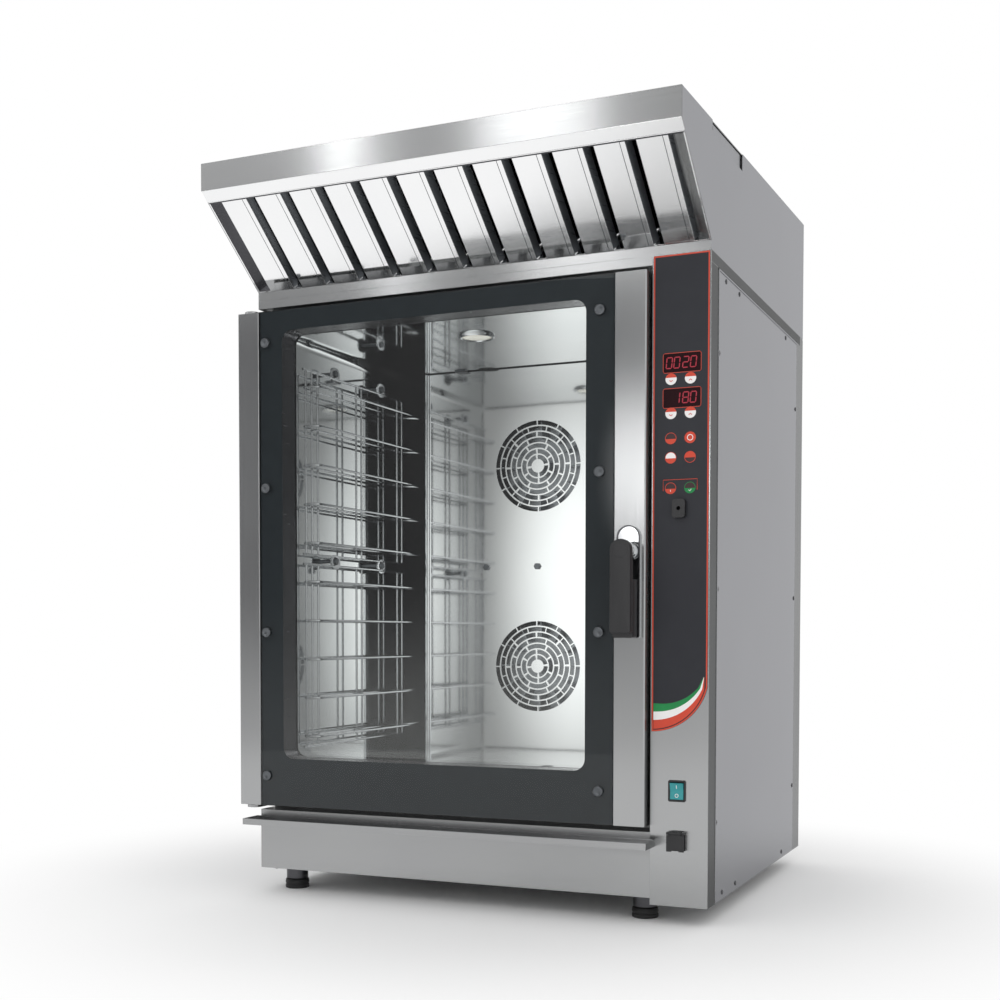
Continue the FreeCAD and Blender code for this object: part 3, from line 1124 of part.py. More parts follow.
def door():
    """Stiles, rails, two panes, window frame and bolts of the door."""
    tall = ("door_bottom", "door_top")
    deep = ("door_front", "door_back")
    gauge = "stile_gauge"

    def stile(name, low, high):
        shell = rounded(name + "_skin", (low, high), deep, tall, "z", "stile_round", True)
        hollow = box(name + "_hollow", (low + " + " + gauge, high + " - " + gauge),
                     ("door_front + " + gauge, "door_back - " + gauge),
                     ("door_bottom + stile_cap", "door_top - stile_cap"))
        return shell, hollow

    skin, hollow = stile("hinge_stile_tube", "door_left", "glass_left")
    pin = rod("pin_hole", "z", "pin_radius + running_gap", ("hinge_x", "hinge_y"),
              ("door_bottom - 1", "door_top + 1"))
    keep(cut("hinge_side_stile", skin, hollow, pin))
    skin, hollow = stile("handle_stile_tube", "glass_right", "door_right")
    keep(cut("handle_side_stile", skin, hollow,
             rod("spindle_hole", "y", "spindle_radius + running_gap", ("pivot_x", "pivot_z"),
                 ("door_front - 1", "door_back + 1"))))
    across = ("glass_left", "glass_right")
    back = ("glass_back", "door_back")
    rails = []
    for name, low, high, open_low, open_high in (
            ("low", "door_bottom", "door_bottom + rail_height", "door_bottom + stile_gauge",
             "door_bottom + rail_height + 1"),
            ("top", "rail_low", "door_top", "rail_low - 1", "door_top - stile_gauge")):
        cuts = [box(name + "_rail_hollow", ("glass_left - 1", "glass_right + 1"),
                    ("glass_back + stile_gauge", "door_back - stile_gauge"), (open_low, open_high))]
        if name == "top":
            first = "((glass_left + glass_right) / 2 - slot_pitch * (slot_count - 1) / 2 - slot_length / 2)"
            for slot in range(count("slot_count")):
                start = "%s + %d * slot_pitch" % (first, slot)
                cuts.append(box("cooling_slot_%d" % slot, (start, start + " + slot_length"),
                                ("(glass_back + door_back) / 2 - slot_width / 2",
                                 "(glass_back + door_back) / 2 + slot_width / 2"),
                                ("door_top - stile_gauge - 1", "door_top + 1")))
        rails.append(cut(name + "_rail", box(name + "_rail_bar", across, back, (low, high)), *cuts))
    bolts = []
    holes = []
    for column, middle in enumerate(("glass_left + bolt_side_left", "glass_right - bolt_side_right")):
        for row in range(4):
            label = "%d_%d" % (column, row)
            height = "door_bottom + bolt_first + %d * bolt_pitch" % row
            holes.append(bar("bolt_hole_" + label, "y", "bolt_shank + glass_play", (middle, height),
                             ("door_front - 1", "glass_back + 1")))
            bolts.append(fuse(
                "bolt_" + label,
                bar("bolt_head_" + label, "y", "bolt_head", (middle, height),
                    ("door_front - bolt_dome", "door_front"), 8),
                bar("bolt_shank_" + label, "y", "bolt_shank", (middle, height), ("door_front", "glass_back")),
                bar("bolt_boss_" + label, "y", "boss_radius", (middle, height), ("glass_back", "inner_back"))))
    keep(cut("outer_glass", box("outer_pane", across, ("door_front", "glass_back"), tall), *holes))
    keep(group("glass_bolts", bolts))
    wall = "spacer_wall"
    keep(cut("window_spacer",
             box("spacer_outside", ("window_left - " + wall, "window_right + " + wall),
                 ("glass_back", "inner_front"), ("window_low - " + wall, "window_high + " + wall)),
             rounded("spacer_inside", ("window_left", "window_right"), ("glass_back - 1", "inner_front + 1"),
                     ("window_low", "window_high"), "y", "window_round")))
    panel = cut("inner_panel",
                box("panel_blank", across, ("inner_back", "door_back"),
                    ("door_bottom + rail_height", "rail_low")),
                rounded("panel_opening", ("window_left", "window_right"), ("inner_back - 1", "door_back + 1"),
                        ("window_low", "window_high"), "y", "window_round"))
    keep(fuse("door_pan", panel, *rails))
    margin = "inner_margin"
    keep(box("inner_glass", ("window_left - " + margin, "window_right + " + margin),
             ("inner_front", "inner_back"), ("window_low - " + margin, "window_high + " + margin)))


def latch_keeper():
    """Block on the mouth frame that stops the latch tongue in its closed place."""
    stop = "pivot_z + tongue_width / 2 + keeper_gap"
    return box("keeper_block", ("pivot_x + tongue_length - keeper_width", "pivot_x + tongue_length"),
               ("door_back + tongue_gap", "frame_front"), (stop, stop + " + keeper_width"))


def hinges_and_latch():
    """Hinge brackets with pins, handle plate, lever and latch spindle."""
    spot = ("hinge_x", "hinge_y")
    brackets = []
    for name, low, high, pin in (
            ("top", "door_top + hinge_gap", "door_top + hinge_gap + bracket_gauge",
             ("door_top - pin_length", "door_top + hinge_gap")),
            ("low", "door_bottom - hinge_gap - bracket_gauge", "door_bottom - hinge_gap",
             ("door_bottom - hinge_gap", "door_bottom + pin_length"))):
        brackets.append(fuse(
            name + "_bracket",
            bar(name + "_eye", "z", "bracket_round", spot, (low, high), 12),
            box(name + "_arm", ("hinge_x - bracket_round", "hinge_x + bracket_round"),
                ("hinge_y", "frame_front"), (low, high)),
            box(name + "_leaf", ("hinge_x - bracket_round", "hinge_x + bracket_reach"),
                ("frame_front - bracket_gauge", "frame_front"), (low, high)),
            rod(name + "_pin", "z", "pin_radius", spot, pin)))
    keep(group("hinge_brackets", brackets))
    half = "base_width / 2"
    arch = "(pivot_z + base_above)"
    front = ("door_front - base_thick", "door_front")
    plate = fuse("base_blank",
                 box("base_sheet", ("pivot_x - " + half, "pivot_x + " + half), front,
                     ("pivot_z - base_below", arch)),
                 rod("base_arch", "y", half, ("pivot_x", arch), front))
    keep(cut("handle_plate", plate, rod("base_hole", "y", "spindle_radius + running_gap",
                                        ("pivot_x", "pivot_z"), (front[0] + " - 1", front[1] + " + 1"))))
    wide = ("pivot_x - lever_width / 2", "pivot_x + lever_width / 2")
    keep(fuse("handle_lever",
              box("lever_slab_bar", wide, ("lever_front", "lever_back"), ("pivot_z - lever_below", "pivot_z")),
              rod("lever_eye", "y", "lever_width / 2", ("pivot_x", "pivot_z"), ("lever_front", "lever_back")),
              bar("lever_hub", "y", "boss_hub", ("pivot_x", "pivot_z"),
                  ("lever_back", "door_front - base_thick - hub_gap"), 12),
              rounded("lever_grip", wide, ("lever_back", "door_front - grip_gap"),
                      ("pivot_z - lever_below - grip_extra", "pivot_z - grip_top"), "z", "edge_round", True)))
    tongue = ("door_back + tongue_gap", "door_back + tongue_gap + tongue_gauge")
    keep(fuse("latch_spindle",
              rod("spindle_bar", "y", "spindle_radius", ("pivot_x", "pivot_z"),
                  ("door_front - base_thick - hub_gap", tongue[1])),
              box("latch_tongue", ("pivot_x", "pivot_x + tongue_length"), tongue,
                  ("pivot_z - tongue_width / 2", "pivot_z + tongue_width / 2"))))


def gutter():
    """Open drip gutter along the skirt, below the door."""
    ends = ("left - gutter_over", "column_left + gutter_over")
    wall = "sheet_gauge"
    keep(cut("drip_gutter",
             box("gutter_trough", ends, ("front - gutter_reach", "front"),
                 ("gutter_bottom", "gutter_bottom + gutter_height")),
             box("gutter_hollow", (ends[0] + " + " + wall, ends[1] + " - " + wall),
                 ("front - gutter_reach + " + wall, "front - " + wall),
                 ("gutter_bottom + " + wall, "gutter_bottom + gutter_height + 1"))))


def leg_sleeves():
    """Sleeves below the base pan that the feet screw into."""
    return [cut(name + "_sleeve",
                bar(name + "_tube", "z", "sleeve_radius", spot, ("boot_height + sleeve_gap", "base_bottom")),
                rod(name + "_thread", "z", "stem_radius + running_gap", spot,
                    ("boot_height", "boot_height + stem_rise + sleeve_gap")))
            for name, spot in LEGS.items()]


def feet():
    """Four feet, each a rubber boot on a threaded stem."""
    for name, spot in LEGS.items():
        keep(fuse(name + "_foot",
                  bar(name + "_boot", "z", "boot_radius", spot, ("0", "boot_height"), 16),
                  rod(name + "_stem", "z", "stem_radius", spot, ("boot_height", "boot_height + stem_rise"))))


def slanted(item, x, depth, along):
    """Place an object on the filter's slope: depth goes into the hood, along goes up the slope."""
    item.setExpression("Placement.Base.x", formula(x))
    item.setExpression("Placement.Base.y", formula(
        "front + (%s) * filter_rise / filter_length - (%s) * filter_run / filter_length" % (depth, along)))
    item.setExpression("Placement.Base.z", formula(
        "rail_top + (%s) * filter_run / filter_length + (%s) * filter_rise / filter_length" % (depth, along)))
    item.Placement.Rotation = FreeCAD.Rotation(Vector(1, 0, 0), amount("atan(filter_run / filter_rise)"))
    return item


def filter_bank():
    """Grease filter: two rows of channels, one behind the other, in a frame on the slope."""
    wide = ("left + sheet_gauge", "right - sheet_gauge")
    bars = []
    for name, start in (("low", "0"), ("top", "filter_length - frame_wall")):
        bar = doc.addObject("Part::Box", name + "_filter_bar")
        bind(bar, Length="%s - (%s)" % (wide[1], wide[0]), Width="frame_depth", Height="frame_wall")
        bars.append(slanted(bar, wide[0], "0", start))
    for name, start in (("left", wide[0]), ("right", wide[1] + " - frame_wall")):
        bar = doc.addObject("Part::Box", name + "_filter_side")
        bind(bar, Length="frame_wall", Width="frame_depth", Height="filter_length")
        bars.append(slanted(bar, start, "0", "0"))
    frame = fuse("filter_frame", *bars)

    def channel(name, middle, width, face, flange):
        """A folded strip: a flat face with two flanges, padded along the slope."""
        body = doc.addObject("PartDesign::Body", name)
        half = "(%s) / 2" % width
        skin = "channel_gauge" if flange == "+" else "-channel_gauge"
        edge = "channel_depth" if flange == "+" else "-channel_depth"
        inner = half + " - channel_gauge"
        sketch = sketch_outline(body, "XY_Plane", (
            ("-" + half, "0"), (half, "0"), (half, edge), (inner, edge), (inner, skin),
            ("-(%s)" % inner, skin), ("-(%s)" % inner, edge), ("-" + half, edge)))
        feature = body.newObject("PartDesign::Pad", name + "_pad")
        feature.Profile = sketch
        bind(feature, Length="filter_length - 2 * frame_wall")
        return slanted(body, middle, face, "frame_wall")

    front_row = [channel("front_channel_%d" % number, "filter_first + %d * filter_pitch" % number,
                         "channel_width", "0", "+") for number in range(count("filter_count"))]
    rear_row = [channel("rear_channel_%d" % number, "filter_first + (%d + 0.5) * filter_pitch" % number,
                        "back_width", "back_offset", "-") for number in range(count("filter_count") - 1)]
    keep(group("grease_filter", [frame] + front_row + rear_row))


def hood():
    """Sides, fascia, roof, back and floor of the hood."""
    between = ("left + sheet_gauge", "right - sheet_gauge")
    front_top = "hood_front + hood_slope * sheet_gauge"
    profile = (("hood_inner", front_top), ("hood_inner", "fascia_bottom"),
               ("return_back", "return_bottom"), ("front", "rail_top"), ("front", "body_height"),
               ("rear", "body_height"), ("rear", "hood_rear"))
    keep(pad("hood_left_side", "yz", profile, ("left", between[0])))
    side = pad("hood_right_blank", "yz", profile, (between[1], "right"))
    roof = "(hood_front + hood_slope * notch_front)"
    keep(cut("hood_right_side", side, box(
        "side_notch", (between[1] + " - 1", "right + 1"),
        ("hood_lip + notch_front", "hood_lip + notch_front + notch_length"),
        (roof + " - notch_depth", roof + " + 40"))))
    keep(fuse("hood_fascia",
              box("fascia_plate", ("left", "right"), ("hood_lip", "hood_inner"), ("fascia_bottom", "hood_front")),
              pad("fascia_return", "yz", (
                  ("hood_lip", "fascia_bottom"), ("return_back", "return_bottom"),
                  ("return_back", "return_bottom + 2 * sheet_gauge"),
                  ("hood_lip", "fascia_bottom + 2 * sheet_gauge")), between)))
    sheet_top = pad("roof_sheet", "yz", (
        ("hood_inner", front_top + " - sheet_gauge"), ("rear", "hood_rear - sheet_gauge"),
        ("rear", "hood_rear"), ("hood_inner", front_top)), between)
    spot = ("hood_middle", "collar_y")
    lift = ("collar_roof - collar_skirt", "collar_roof + collar_rise")
    back = box("hood_back", between, ("rear_face", "rear_face + sheet_gauge"),
               ("hood_floor_top", "hood_rear - hood_slope * rear_inset - sheet_gauge / 2"))
    past = (lift[0] + " - 1", lift[1] + " + 1")
    collar = cut("exhaust_collar", rod("collar_ring", "z", "collar_radius", spot, lift),
                 rod("collar_bore", "z", "collar_radius - collar_gauge", spot, past))
    opened = cut("roof_with_hole", fuse("roof_blank", sheet_top, back),
                 rod("roof_hole", "z", "collar_radius", spot, past))
    keep(group("hood_roof", [opened, collar]))
    floor = pad("floor_fold", "yz", (
        ("front", "body_height"), ("rear_face + sheet_gauge", "body_height"),
        ("rear_face + sheet_gauge", "hood_floor_top"), ("column_back", "hood_floor_top"),
        ("column_back", "rail_top"), ("front", "rail_top")), between)
    keep(cut("hood_floor", floor, bar("floor_hole", "z", "vent_radius + pipe_play", ("vent_x", "vent_y"),
                                      ("body_height - 1", "hood_floor_top + 1"), 10)))


def blower():
    """Extractor blower: drum with outlet, vaned wheel and motor."""
    middle = "hood_middle"
    spot = ("collar_y", "blower_z")
    drum = (middle + " - scroll_width / 2", middle + " + scroll_width / 2")
    gauge = "scroll_gauge"
    neck = ("collar_y - neck_size / 2", "collar_y + neck_size / 2")
    shell = fuse("drum_shell", bar("drum_skin", "x", "scroll_radius", spot, drum, 16),
                 box("drum_neck", drum, neck, ("blower_z", "neck_top")),
                 box("drum_foot", drum, neck, ("hood_floor_top", "blower_z")))
    keep(cut("blower_housing", shell,
             bar("drum_hollow", "x", "scroll_radius - " + gauge, spot,
                 (drum[0] + " + " + gauge, drum[1] + " - " + gauge), 16),
             box("neck_hollow", (drum[0] + " + " + gauge, drum[1] + " - " + gauge),
                 (neck[0] + " + " + gauge, neck[1] + " - " + gauge), ("blower_z", "neck_top + 1")),
             bar("drum_inlet", "x", "rotor_radius - inlet_ring", spot,
                 (drum[0] + " - 1", drum[0] + " + 2 * " + gauge), 16),
             bar("drum_shaft_hole", "x", "shaft_radius + shaft_space", spot,
                 (drum[1] + " - 2 * " + gauge, drum[1] + " + 1"), 8)))
    body = doc.addObject("PartDesign::Body", "vane_ring")
    vane = body.newObject("PartDesign::AdditiveBox", "vane")
    bind(vane, Length="vane_depth", Width="vane_gauge", Height="rotor_width")
    vane.setExpression("Placement.Base.x", formula("rotor_radius - vane_depth"))
    round_the_axis(body, vane, "vane_count")
    place(body, middle + " - rotor_width / 2", *spot, turn="x")
    disc = (middle + " + rotor_width / 2 - rotor_plate", middle + " + rotor_width / 2")
    keep(fuse("blower_wheel", body,
              bar("rotor_disc", "x", "rotor_radius", spot, disc, 12),
              rod("rotor_shaft", "x", "shaft_radius", spot, (disc[0], drum[1] + " + blower_length / 2"))))
    keep(cut("blower_motor",
             bar("blower_can", "x", "blower_motor", spot, (drum[1], drum[1] + " + blower_length"), 12),
             rod("blower_bearing", "x", "shaft_radius + running_gap", spot,
                 (drum[1] + " - 1", drum[1] + " + blower_length / 2 + 1"))))


def side_screws():
    """Heads of the screws that hold the side panels."""
    heads = []
    edges = ("(front + column_return + panel_seam + screw_edge)", "(rear - corner_width - panel_seam - screw_edge)")
    spots = [("%s + %g * (%s - %s)" % (edges[0], part, edges[1], edges[0]), height)
             for height in ("panel_top - screw_drop", "panel_bottom + screw_lift") for part in (0.07, 0.22, 0.84)]
    spots += [(edge, "panel_bottom + %g * (panel_top - panel_bottom)" % part)
              for part in (0.13, 0.5, 0.87) for edge in edges]
    for number, (y, z) in enumerate(spots):
        for side, span in (("left", ("left - screw_head", "left")), ("right", ("right", "right + screw_head"))):
            heads.append(bar("%s_screw_%d" % (side, number), "x", "screw_radius", (y, z), span, 4))
    keep(group("side_screws", heads))


def export():
    """Test every object, then write each sub-part to its own file."""
    doc.recompute()
    for item in doc.Objects:
        if "Invalid" in item.State or "Error" in item.State:
            raise RuntimeError("%s did not build: %s" % (item.Name, item.State))
    os.makedirs("parts", exist_ok=True)
    for item in nodes:
        if item.Shape.isNull() or not item.Shape.isValid() or not item.Shape.Solids:
            raise RuntimeError("%s has no valid solid" % item.Label)
        item.Shape.exportStep("parts/%s.step" % item.Label)
    print("%d sub-parts written" % len(nodes))


ALIASES = {alias for alias, size, note in SIZES}
fill_sheet()
sheet_casing()
cavity()
keep(group("cavity_fixings", fans() + racks()))
services()
electrics()
control_column()
door()
hinges_and_latch()
gutter()
feet()
hood()
filter_bank()
blower()
side_screws()
export()
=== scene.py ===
# %% [markdown]
# The oven comes in from the CAD model as a fixed frame: sixty named pieces on the bodies that move.
# Everything below dresses that frame. A piece that is already right only gets a better material, and a
# piece that the solids leave plain is drawn again as a surface that rides on the same body.

# %% Load the frame
import math

import bmesh
import bpy
import numpy as np
from mathutils import Matrix, Vector


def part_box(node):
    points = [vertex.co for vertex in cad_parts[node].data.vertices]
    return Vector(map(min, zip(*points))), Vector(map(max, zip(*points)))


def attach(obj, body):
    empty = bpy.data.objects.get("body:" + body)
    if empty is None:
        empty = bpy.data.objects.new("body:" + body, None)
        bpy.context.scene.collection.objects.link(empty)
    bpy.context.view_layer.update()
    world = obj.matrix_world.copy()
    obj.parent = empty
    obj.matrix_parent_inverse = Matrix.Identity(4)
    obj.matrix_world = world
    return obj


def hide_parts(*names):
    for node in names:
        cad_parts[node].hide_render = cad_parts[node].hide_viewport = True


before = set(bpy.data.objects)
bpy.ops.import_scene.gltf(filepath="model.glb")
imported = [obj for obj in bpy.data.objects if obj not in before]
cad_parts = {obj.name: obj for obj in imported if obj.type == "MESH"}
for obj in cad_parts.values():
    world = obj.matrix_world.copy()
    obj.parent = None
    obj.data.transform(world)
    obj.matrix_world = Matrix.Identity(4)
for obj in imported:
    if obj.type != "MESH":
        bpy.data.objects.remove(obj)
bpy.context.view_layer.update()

MM = 0.001

# %% [markdown]
# Every new shape here is a stack of closed loops: a turned bolt is a stack of circles, a wire is a circle
# carried along a line, a moulded lever is an outline that shrinks towards its edges. So one function that
# closes such a stack, and one that puts stacks into a mesh, are enough for the whole oven.

# %% Sizes and stacks


def span(node):
    """A CAD node's lowest and highest corner in millimetres."""
    low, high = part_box(node)
    return np.array(low) / MM, np.array(high) / MM


def stack(rings, ring_of_rings=False):
    """Skin over closed loops: rings[row, column] are points, neighbouring rows and columns make a quad.
    The first and last loop are drawn together to their middle, unless the stack is itself a ring."""
    rings = np.asarray(rings, float)
    if not ring_of_rings:
        ends = rings[[0, -1]].mean(axis=1, keepdims=True)
        rings = np.concatenate([np.broadcast_to(ends[0], rings[:1].shape), rings,
                                np.broadcast_to(ends[1], rings[:1].shape)])
    rows, columns = rings.shape[:2]
    row = np.arange(rows if ring_of_rings else rows - 1)[:, None]
    column = np.arange(columns)[None, :]
    after, beside = (row + 1) % rows, (column + 1) % columns
    here, there = row * columns, after * columns
    corners = (here + column, here + beside, there + beside, there + column)
    return rings.reshape(-1, 3), np.stack(np.broadcast_arrays(*corners), -1).reshape(-1, 4)


print("the door glass spans", np.round(span("outer_glass"), 1).tolist(), "mm")

# %% [markdown]
# A piece is one object made of such stacks. Its mesh is filled from whole arrays, points that coincide
# are merged, and its normals are turned outwards. Then it rides on a body of the frame, takes its
# material, and may stand for CAD nodes that it replaces.

# %% Pieces


def piece(name, stacks, body, coat, replaces=(), smooth=True, thick=0.0):
    """One object out of several stacks, in place, riding on a body; thick gives an open sheet its gauge."""
    counts = np.cumsum([0] + [len(points) for points, quads in stacks])
    points = np.concatenate([points for points, quads in stacks])
    quads = np.concatenate([own + start for (corner, own), start in zip(stacks, counts)])
    mesh = bpy.data.meshes.new(name)
    mesh.vertices.add(len(points))
    mesh.vertices.foreach_set("co", (points * MM).astype(np.float32).ravel())
    mesh.loops.add(quads.size)
    mesh.loops.foreach_set("vertex_index", quads.astype(np.int32).ravel())
    mesh.polygons.add(len(quads))
    mesh.polygons.foreach_set("loop_start", np.arange(0, quads.size, 4, dtype=np.int32))
    mesh.update(calc_edges=True)
    shell = bmesh.new()
    shell.from_mesh(mesh)
    bmesh.ops.remove_doubles(shell, verts=shell.verts, dist=1e-6)
    bmesh.ops.recalc_face_normals(shell, faces=shell.faces)
    shell.to_mesh(mesh)
    shell.free()
    mesh.polygons.foreach_set("use_smooth", np.full(len(mesh.polygons), smooth))
    if smooth:
        mesh.set_sharp_from_angle(angle=math.radians(40))
    mesh.materials.append(coat)
    thing = bpy.data.objects.new(name, mesh)
    bpy.context.scene.collection.objects.link(thing)
    if thick:
        gauge = thing.modifiers.new("gauge", "SOLIDIFY")
        gauge.thickness, gauge.offset = thick * MM, 0.0
    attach(thing, body)
    if replaces:
        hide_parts(*replaces)
    print(name, len(mesh.polygons), "faces on", body)


# %% [markdown]
# Round pieces are of two kinds. A profile turned about an axis gives bolts, feet and screw heads, and a
# circle carried along a path gives wires, open or closed into a ring.

# %% Turned pieces and wires


def circle(steps=32):
    """Angles of a circle's points, evenly spaced."""
    return np.linspace(0, 2 * math.pi, steps, endpoint=False)


def turned(profile, centre, axis="y", steps=32, ring=False):
    """A profile of (radius, place on the axis) turned about an axis through centre; ring joins its ends."""
    radius, along = np.array(profile, float).T[..., None] * np.ones(steps)
    turn = circle(steps)
    across, up = radius * np.cos(turn), radius * np.sin(turn)
    order = {"x": (along, across, up), "y": (across, along, up), "z": (across, up, along)}[axis]
    return stack(np.stack(order, -1) + np.array(centre, float), ring)


def wire(path, radius, flat_normal, closed=False, sides=10):
    """A round wire: a circle in the plane of the path's normal and its side, carried along the path."""
    path = np.array(path, float)
    if closed:
        ahead = np.roll(path, -1, 0) - np.roll(path, 1, 0)
    else:
        ahead = np.gradient(path, axis=0)
    ahead /= np.linalg.norm(ahead, axis=1, keepdims=True)
    normal = np.array(flat_normal, float)
    side = np.cross(ahead, normal)
    turn = circle(sides)[None, :, None]
    return stack(path[:, None] + radius * (np.cos(turn) * normal + np.sin(turn) * side[:, None]), closed)


print("a turned rod has", len(turned([(5, 0), (5, 40)], (0, 0, 0))[1]), "quads with its ends")

# %% [markdown]
# Flat pieces start from an outline, a list of points round their edge. Drawing each point in along the
# mean normal of its neighbours gives a smaller outline with as many points, so the two can be joined.

# %% Outlines


def rounded(x0, x1, z0, z1, radius, steps=8):
    """Outline of a rectangle whose corners are quarter circles, anticlockwise, as (x, z)."""
    turn = np.linspace(0, math.pi / 2, steps)
    corner = np.array([[x1 - radius, z1 - radius], [x0 + radius, z1 - radius],
                       [x0 + radius, z0 + radius], [x1 - radius, z0 + radius]])
    start = np.arange(4)[:, None] * math.pi / 2
    arc = np.stack([np.cos(start + turn), np.sin(start + turn)], -1)
    return (corner[:, None] + radius * arc).reshape(-1, 2)


def arched(middle, half, top, bottom, corner, steps=24):
    """Outline of a plate with a half circle above and two rounded corners below, anticlockwise, (x, z)."""
    over = np.linspace(0, math.pi, steps)
    turn = np.linspace(0, math.pi / 2, 6)
    crown = np.stack([middle + half * np.cos(over), top + half * np.sin(over)], -1)
    across, up = corner * np.cos(turn), corner * np.sin(turn)
    left = np.stack([middle - half + corner - across, bottom + corner - up], -1)
    right = np.stack([middle + half - corner + up, bottom + corner - across], -1)
    return np.concatenate([crown, left, right])


def inset(outline, amount):
    """An anticlockwise outline drawn in by an amount, each point along the mean normal of its neighbours."""
    ahead = np.roll(outline, -1, 0) - np.roll(outline, 1, 0)
    ahead /= np.linalg.norm(ahead, axis=1, keepdims=True)
    return outline + amount * np.stack([-ahead[:, 1], ahead[:, 0]], -1)


print("a rounded outline has", len(rounded(0, 40, 0, 20, 4)), "points")

# %% [markdown]
# An outline becomes solid in three ways: carried straight across the oven, made a slab with rolled edges,
# or joined to a second outline as a flat band.

# %% Outlines made solid


def upright(outline, y):
    """An (x, z) outline stood up at depth y."""
    return np.stack([outline[:, 0], np.full(len(outline), y), outline[:, 1]], -1)


def level(plan, z):
    """An (x, y) plan laid flat at height z."""
    return np.concatenate([plan, np.full((len(plan), 1), z)], 1)


def carried(outline, x0, x1):
    """A (y, z) outline carried straight across from x0 to x1."""
    return stack([np.stack([np.full(len(outline), x), outline[:, 0], outline[:, 1]], -1) for x in (x0, x1)])


def slab(outline, front, back, front_edge=0.5, back_edge=0.3, steps=4):
    """A plate seen from the front: the outline from front to back, with quarter-round edges."""
    turn = np.linspace(0, math.pi / 2, steps)
    rows = [upright(inset(outline, front_edge * (1 - math.sin(t))), front + front_edge * (1 - math.cos(t)))
            for t in turn]
    rows += [upright(inset(outline, back_edge * (1 - math.cos(t))), back - back_edge * (1 - math.sin(t)))
             for t in turn]
    return stack(rows)


def band(outer, inner, front, back, closed=True):
    """A flat frame between two outlines with as many points, or an open ribbon between two lines."""
    rows = np.stack([upright(outer, front), upright(inner, front),
                     upright(inner, back), upright(outer, back)])
    return stack(rows, True) if closed else stack(rows.swapaxes(0, 1))


# %% [markdown]
# Finishes. Each one starts from the real material; its pattern is set in millimetres on Object
# coordinates, so that it keeps its size on every piece.

# %% Colours and nodes


def linear(code):
    """An sRGB hex colour as linear RGBA."""
    tone = np.array([int(code[i:i + 2], 16) for i in (1, 3, 5)]) / 255
    tone = np.where(tone <= 0.04045, tone / 12.92, ((tone + 0.055) / 1.055) ** 2.4)
    return (*tone.tolist(), 1.0)


def add(tree, kind, settings=None, links=None):
    """One node with its settings, on sockets by name or number and on the node itself, and its links."""
    node = tree.nodes.new(kind)
    for key, value in (settings or {}).items():
        if isinstance(key, str) and hasattr(node, key):
            setattr(node, key, value)
        else:
            node.inputs[key].default_value = value
    for key, socket in (links or {}).items():
        tree.links.new(socket, node.inputs[key])
    return node


def finish(name, colour, metallic=0.0, roughness=0.4, **more):
    """A new material with its shader: (material, tree, shader, Object coordinates in metres)."""
    material = bpy.data.materials.new(name)
    material.use_nodes = True
    tree = material.node_tree
    tree.nodes.clear()
    shader = add(tree, "ShaderNodeBsdfPrincipled", {"Base Color": linear(colour), "Metallic": metallic,
                                                    "Roughness": roughness, **more})
    add(tree, "ShaderNodeOutputMaterial", links={"Surface": shader.outputs[0]})
    where = add(tree, "ShaderNodeTexCoord").outputs["Object"]
    return material, tree, shader, where


print("mid grey is", round(linear("#808080")[0], 3), "in linear light")

# %% [markdown]
# A finish is never quite even. A pattern between 0 and 1, most often noise stretched to the size of a
# real grain, is carried into the colour, the roughness and the height of the surface.

# %% Patterns on a finish


def spread(tree, factor, low, high, shader, socket):
    """Carries a pattern from 0 to 1 into a number on the shader between low and high."""
    ramp = add(tree, "ShaderNodeMapRange", {"To Min": low, "To Max": high}, {"Value": factor})
    tree.links.new(ramp.outputs[0], shader.inputs[socket])


def tint(tree, factor, low, high, shader, socket="Base Color"):
    """Carries a pattern from 0 to 1 into a colour on the shader between two hex colours, and gives it."""
    mix = add(tree, "ShaderNodeMix", {"data_type": "RGBA", 6: linear(low), 7: linear(high)}, {0: factor})
    tree.links.new(mix.outputs[2], shader.inputs[socket])
    return mix.outputs[2]


def grained(tree, where, scale, detail=2.0):
    """Noise whose grains measure 1/scale metres along each axis; gives the factor's socket."""
    mapping = add(tree, "ShaderNodeMapping", {"Scale": scale}, {"Vector": where})
    noise = add(tree, "ShaderNodeTexNoise", {"Scale": 1.0, "Detail": detail}, {"Vector": mapping.outputs[0]})
    return noise.outputs["Fac"]


def bumped(tree, height, depth, shader, edge=0.0):
    """Bump of a depth in metres, over edges softened to a radius so that they catch the light."""
    links = {"Height": height}
    if edge:
        links["Normal"] = add(tree, "ShaderNodeBevel", {"samples": 4, "Radius": edge}).outputs[0]
    bump = add(tree, "ShaderNodeBump", {"Distance": depth, "Strength": 1.0}, links)
    tree.links.new(bump.outputs[0], shader.inputs["Normal"])


# %% [markdown]
# Stainless sheet is used in two finishes. The casing is brushed with fine straight scratches. They are
# drawn 0.8 mm wide here, because real ones, a tenth of that, would vanish in the picture. They smear a
# reflection across the grain, which is what the anisotropy gives. The cavity and the filters are bright
# rolled sheet, nearly a mirror, with a slow waviness.

# %% Stainless steel


def brushed(name, along, low="#a7a8a9", high="#adaeae", edge="#bcbcbc"):
    """Brushed stainless sheet with its grain along one axis; edge is its tone at a grazing look."""
    smear = {"Anisotropic": 0.9, "Specular Tint": linear(edge)}
    material, tree, shader, where = finish(name, high, 1.0, 0.2, **smear)
    scratch_width, scratch_length = 0.0008, 0.12
    scale = [1 / scratch_width] * 3
    scale["xyz".index(along)] = 1 / scratch_length
    scratches = grained(tree, where, scale)
    clouds = grained(tree, where, (6.0, 6.0, 6.0), 1.0)
    spread(tree, scratches, 0.17, 0.25, shader, "Roughness")
    tint(tree, clouds, low, high, shader)
    bumped(tree, scratches, 0.000008, shader, 0.0010)
    around = add(tree, "ShaderNodeTangent", {"direction_type": "RADIAL", "axis": along.upper()})
    tree.links.new(around.outputs[0], shader.inputs["Tangent"])
    return material


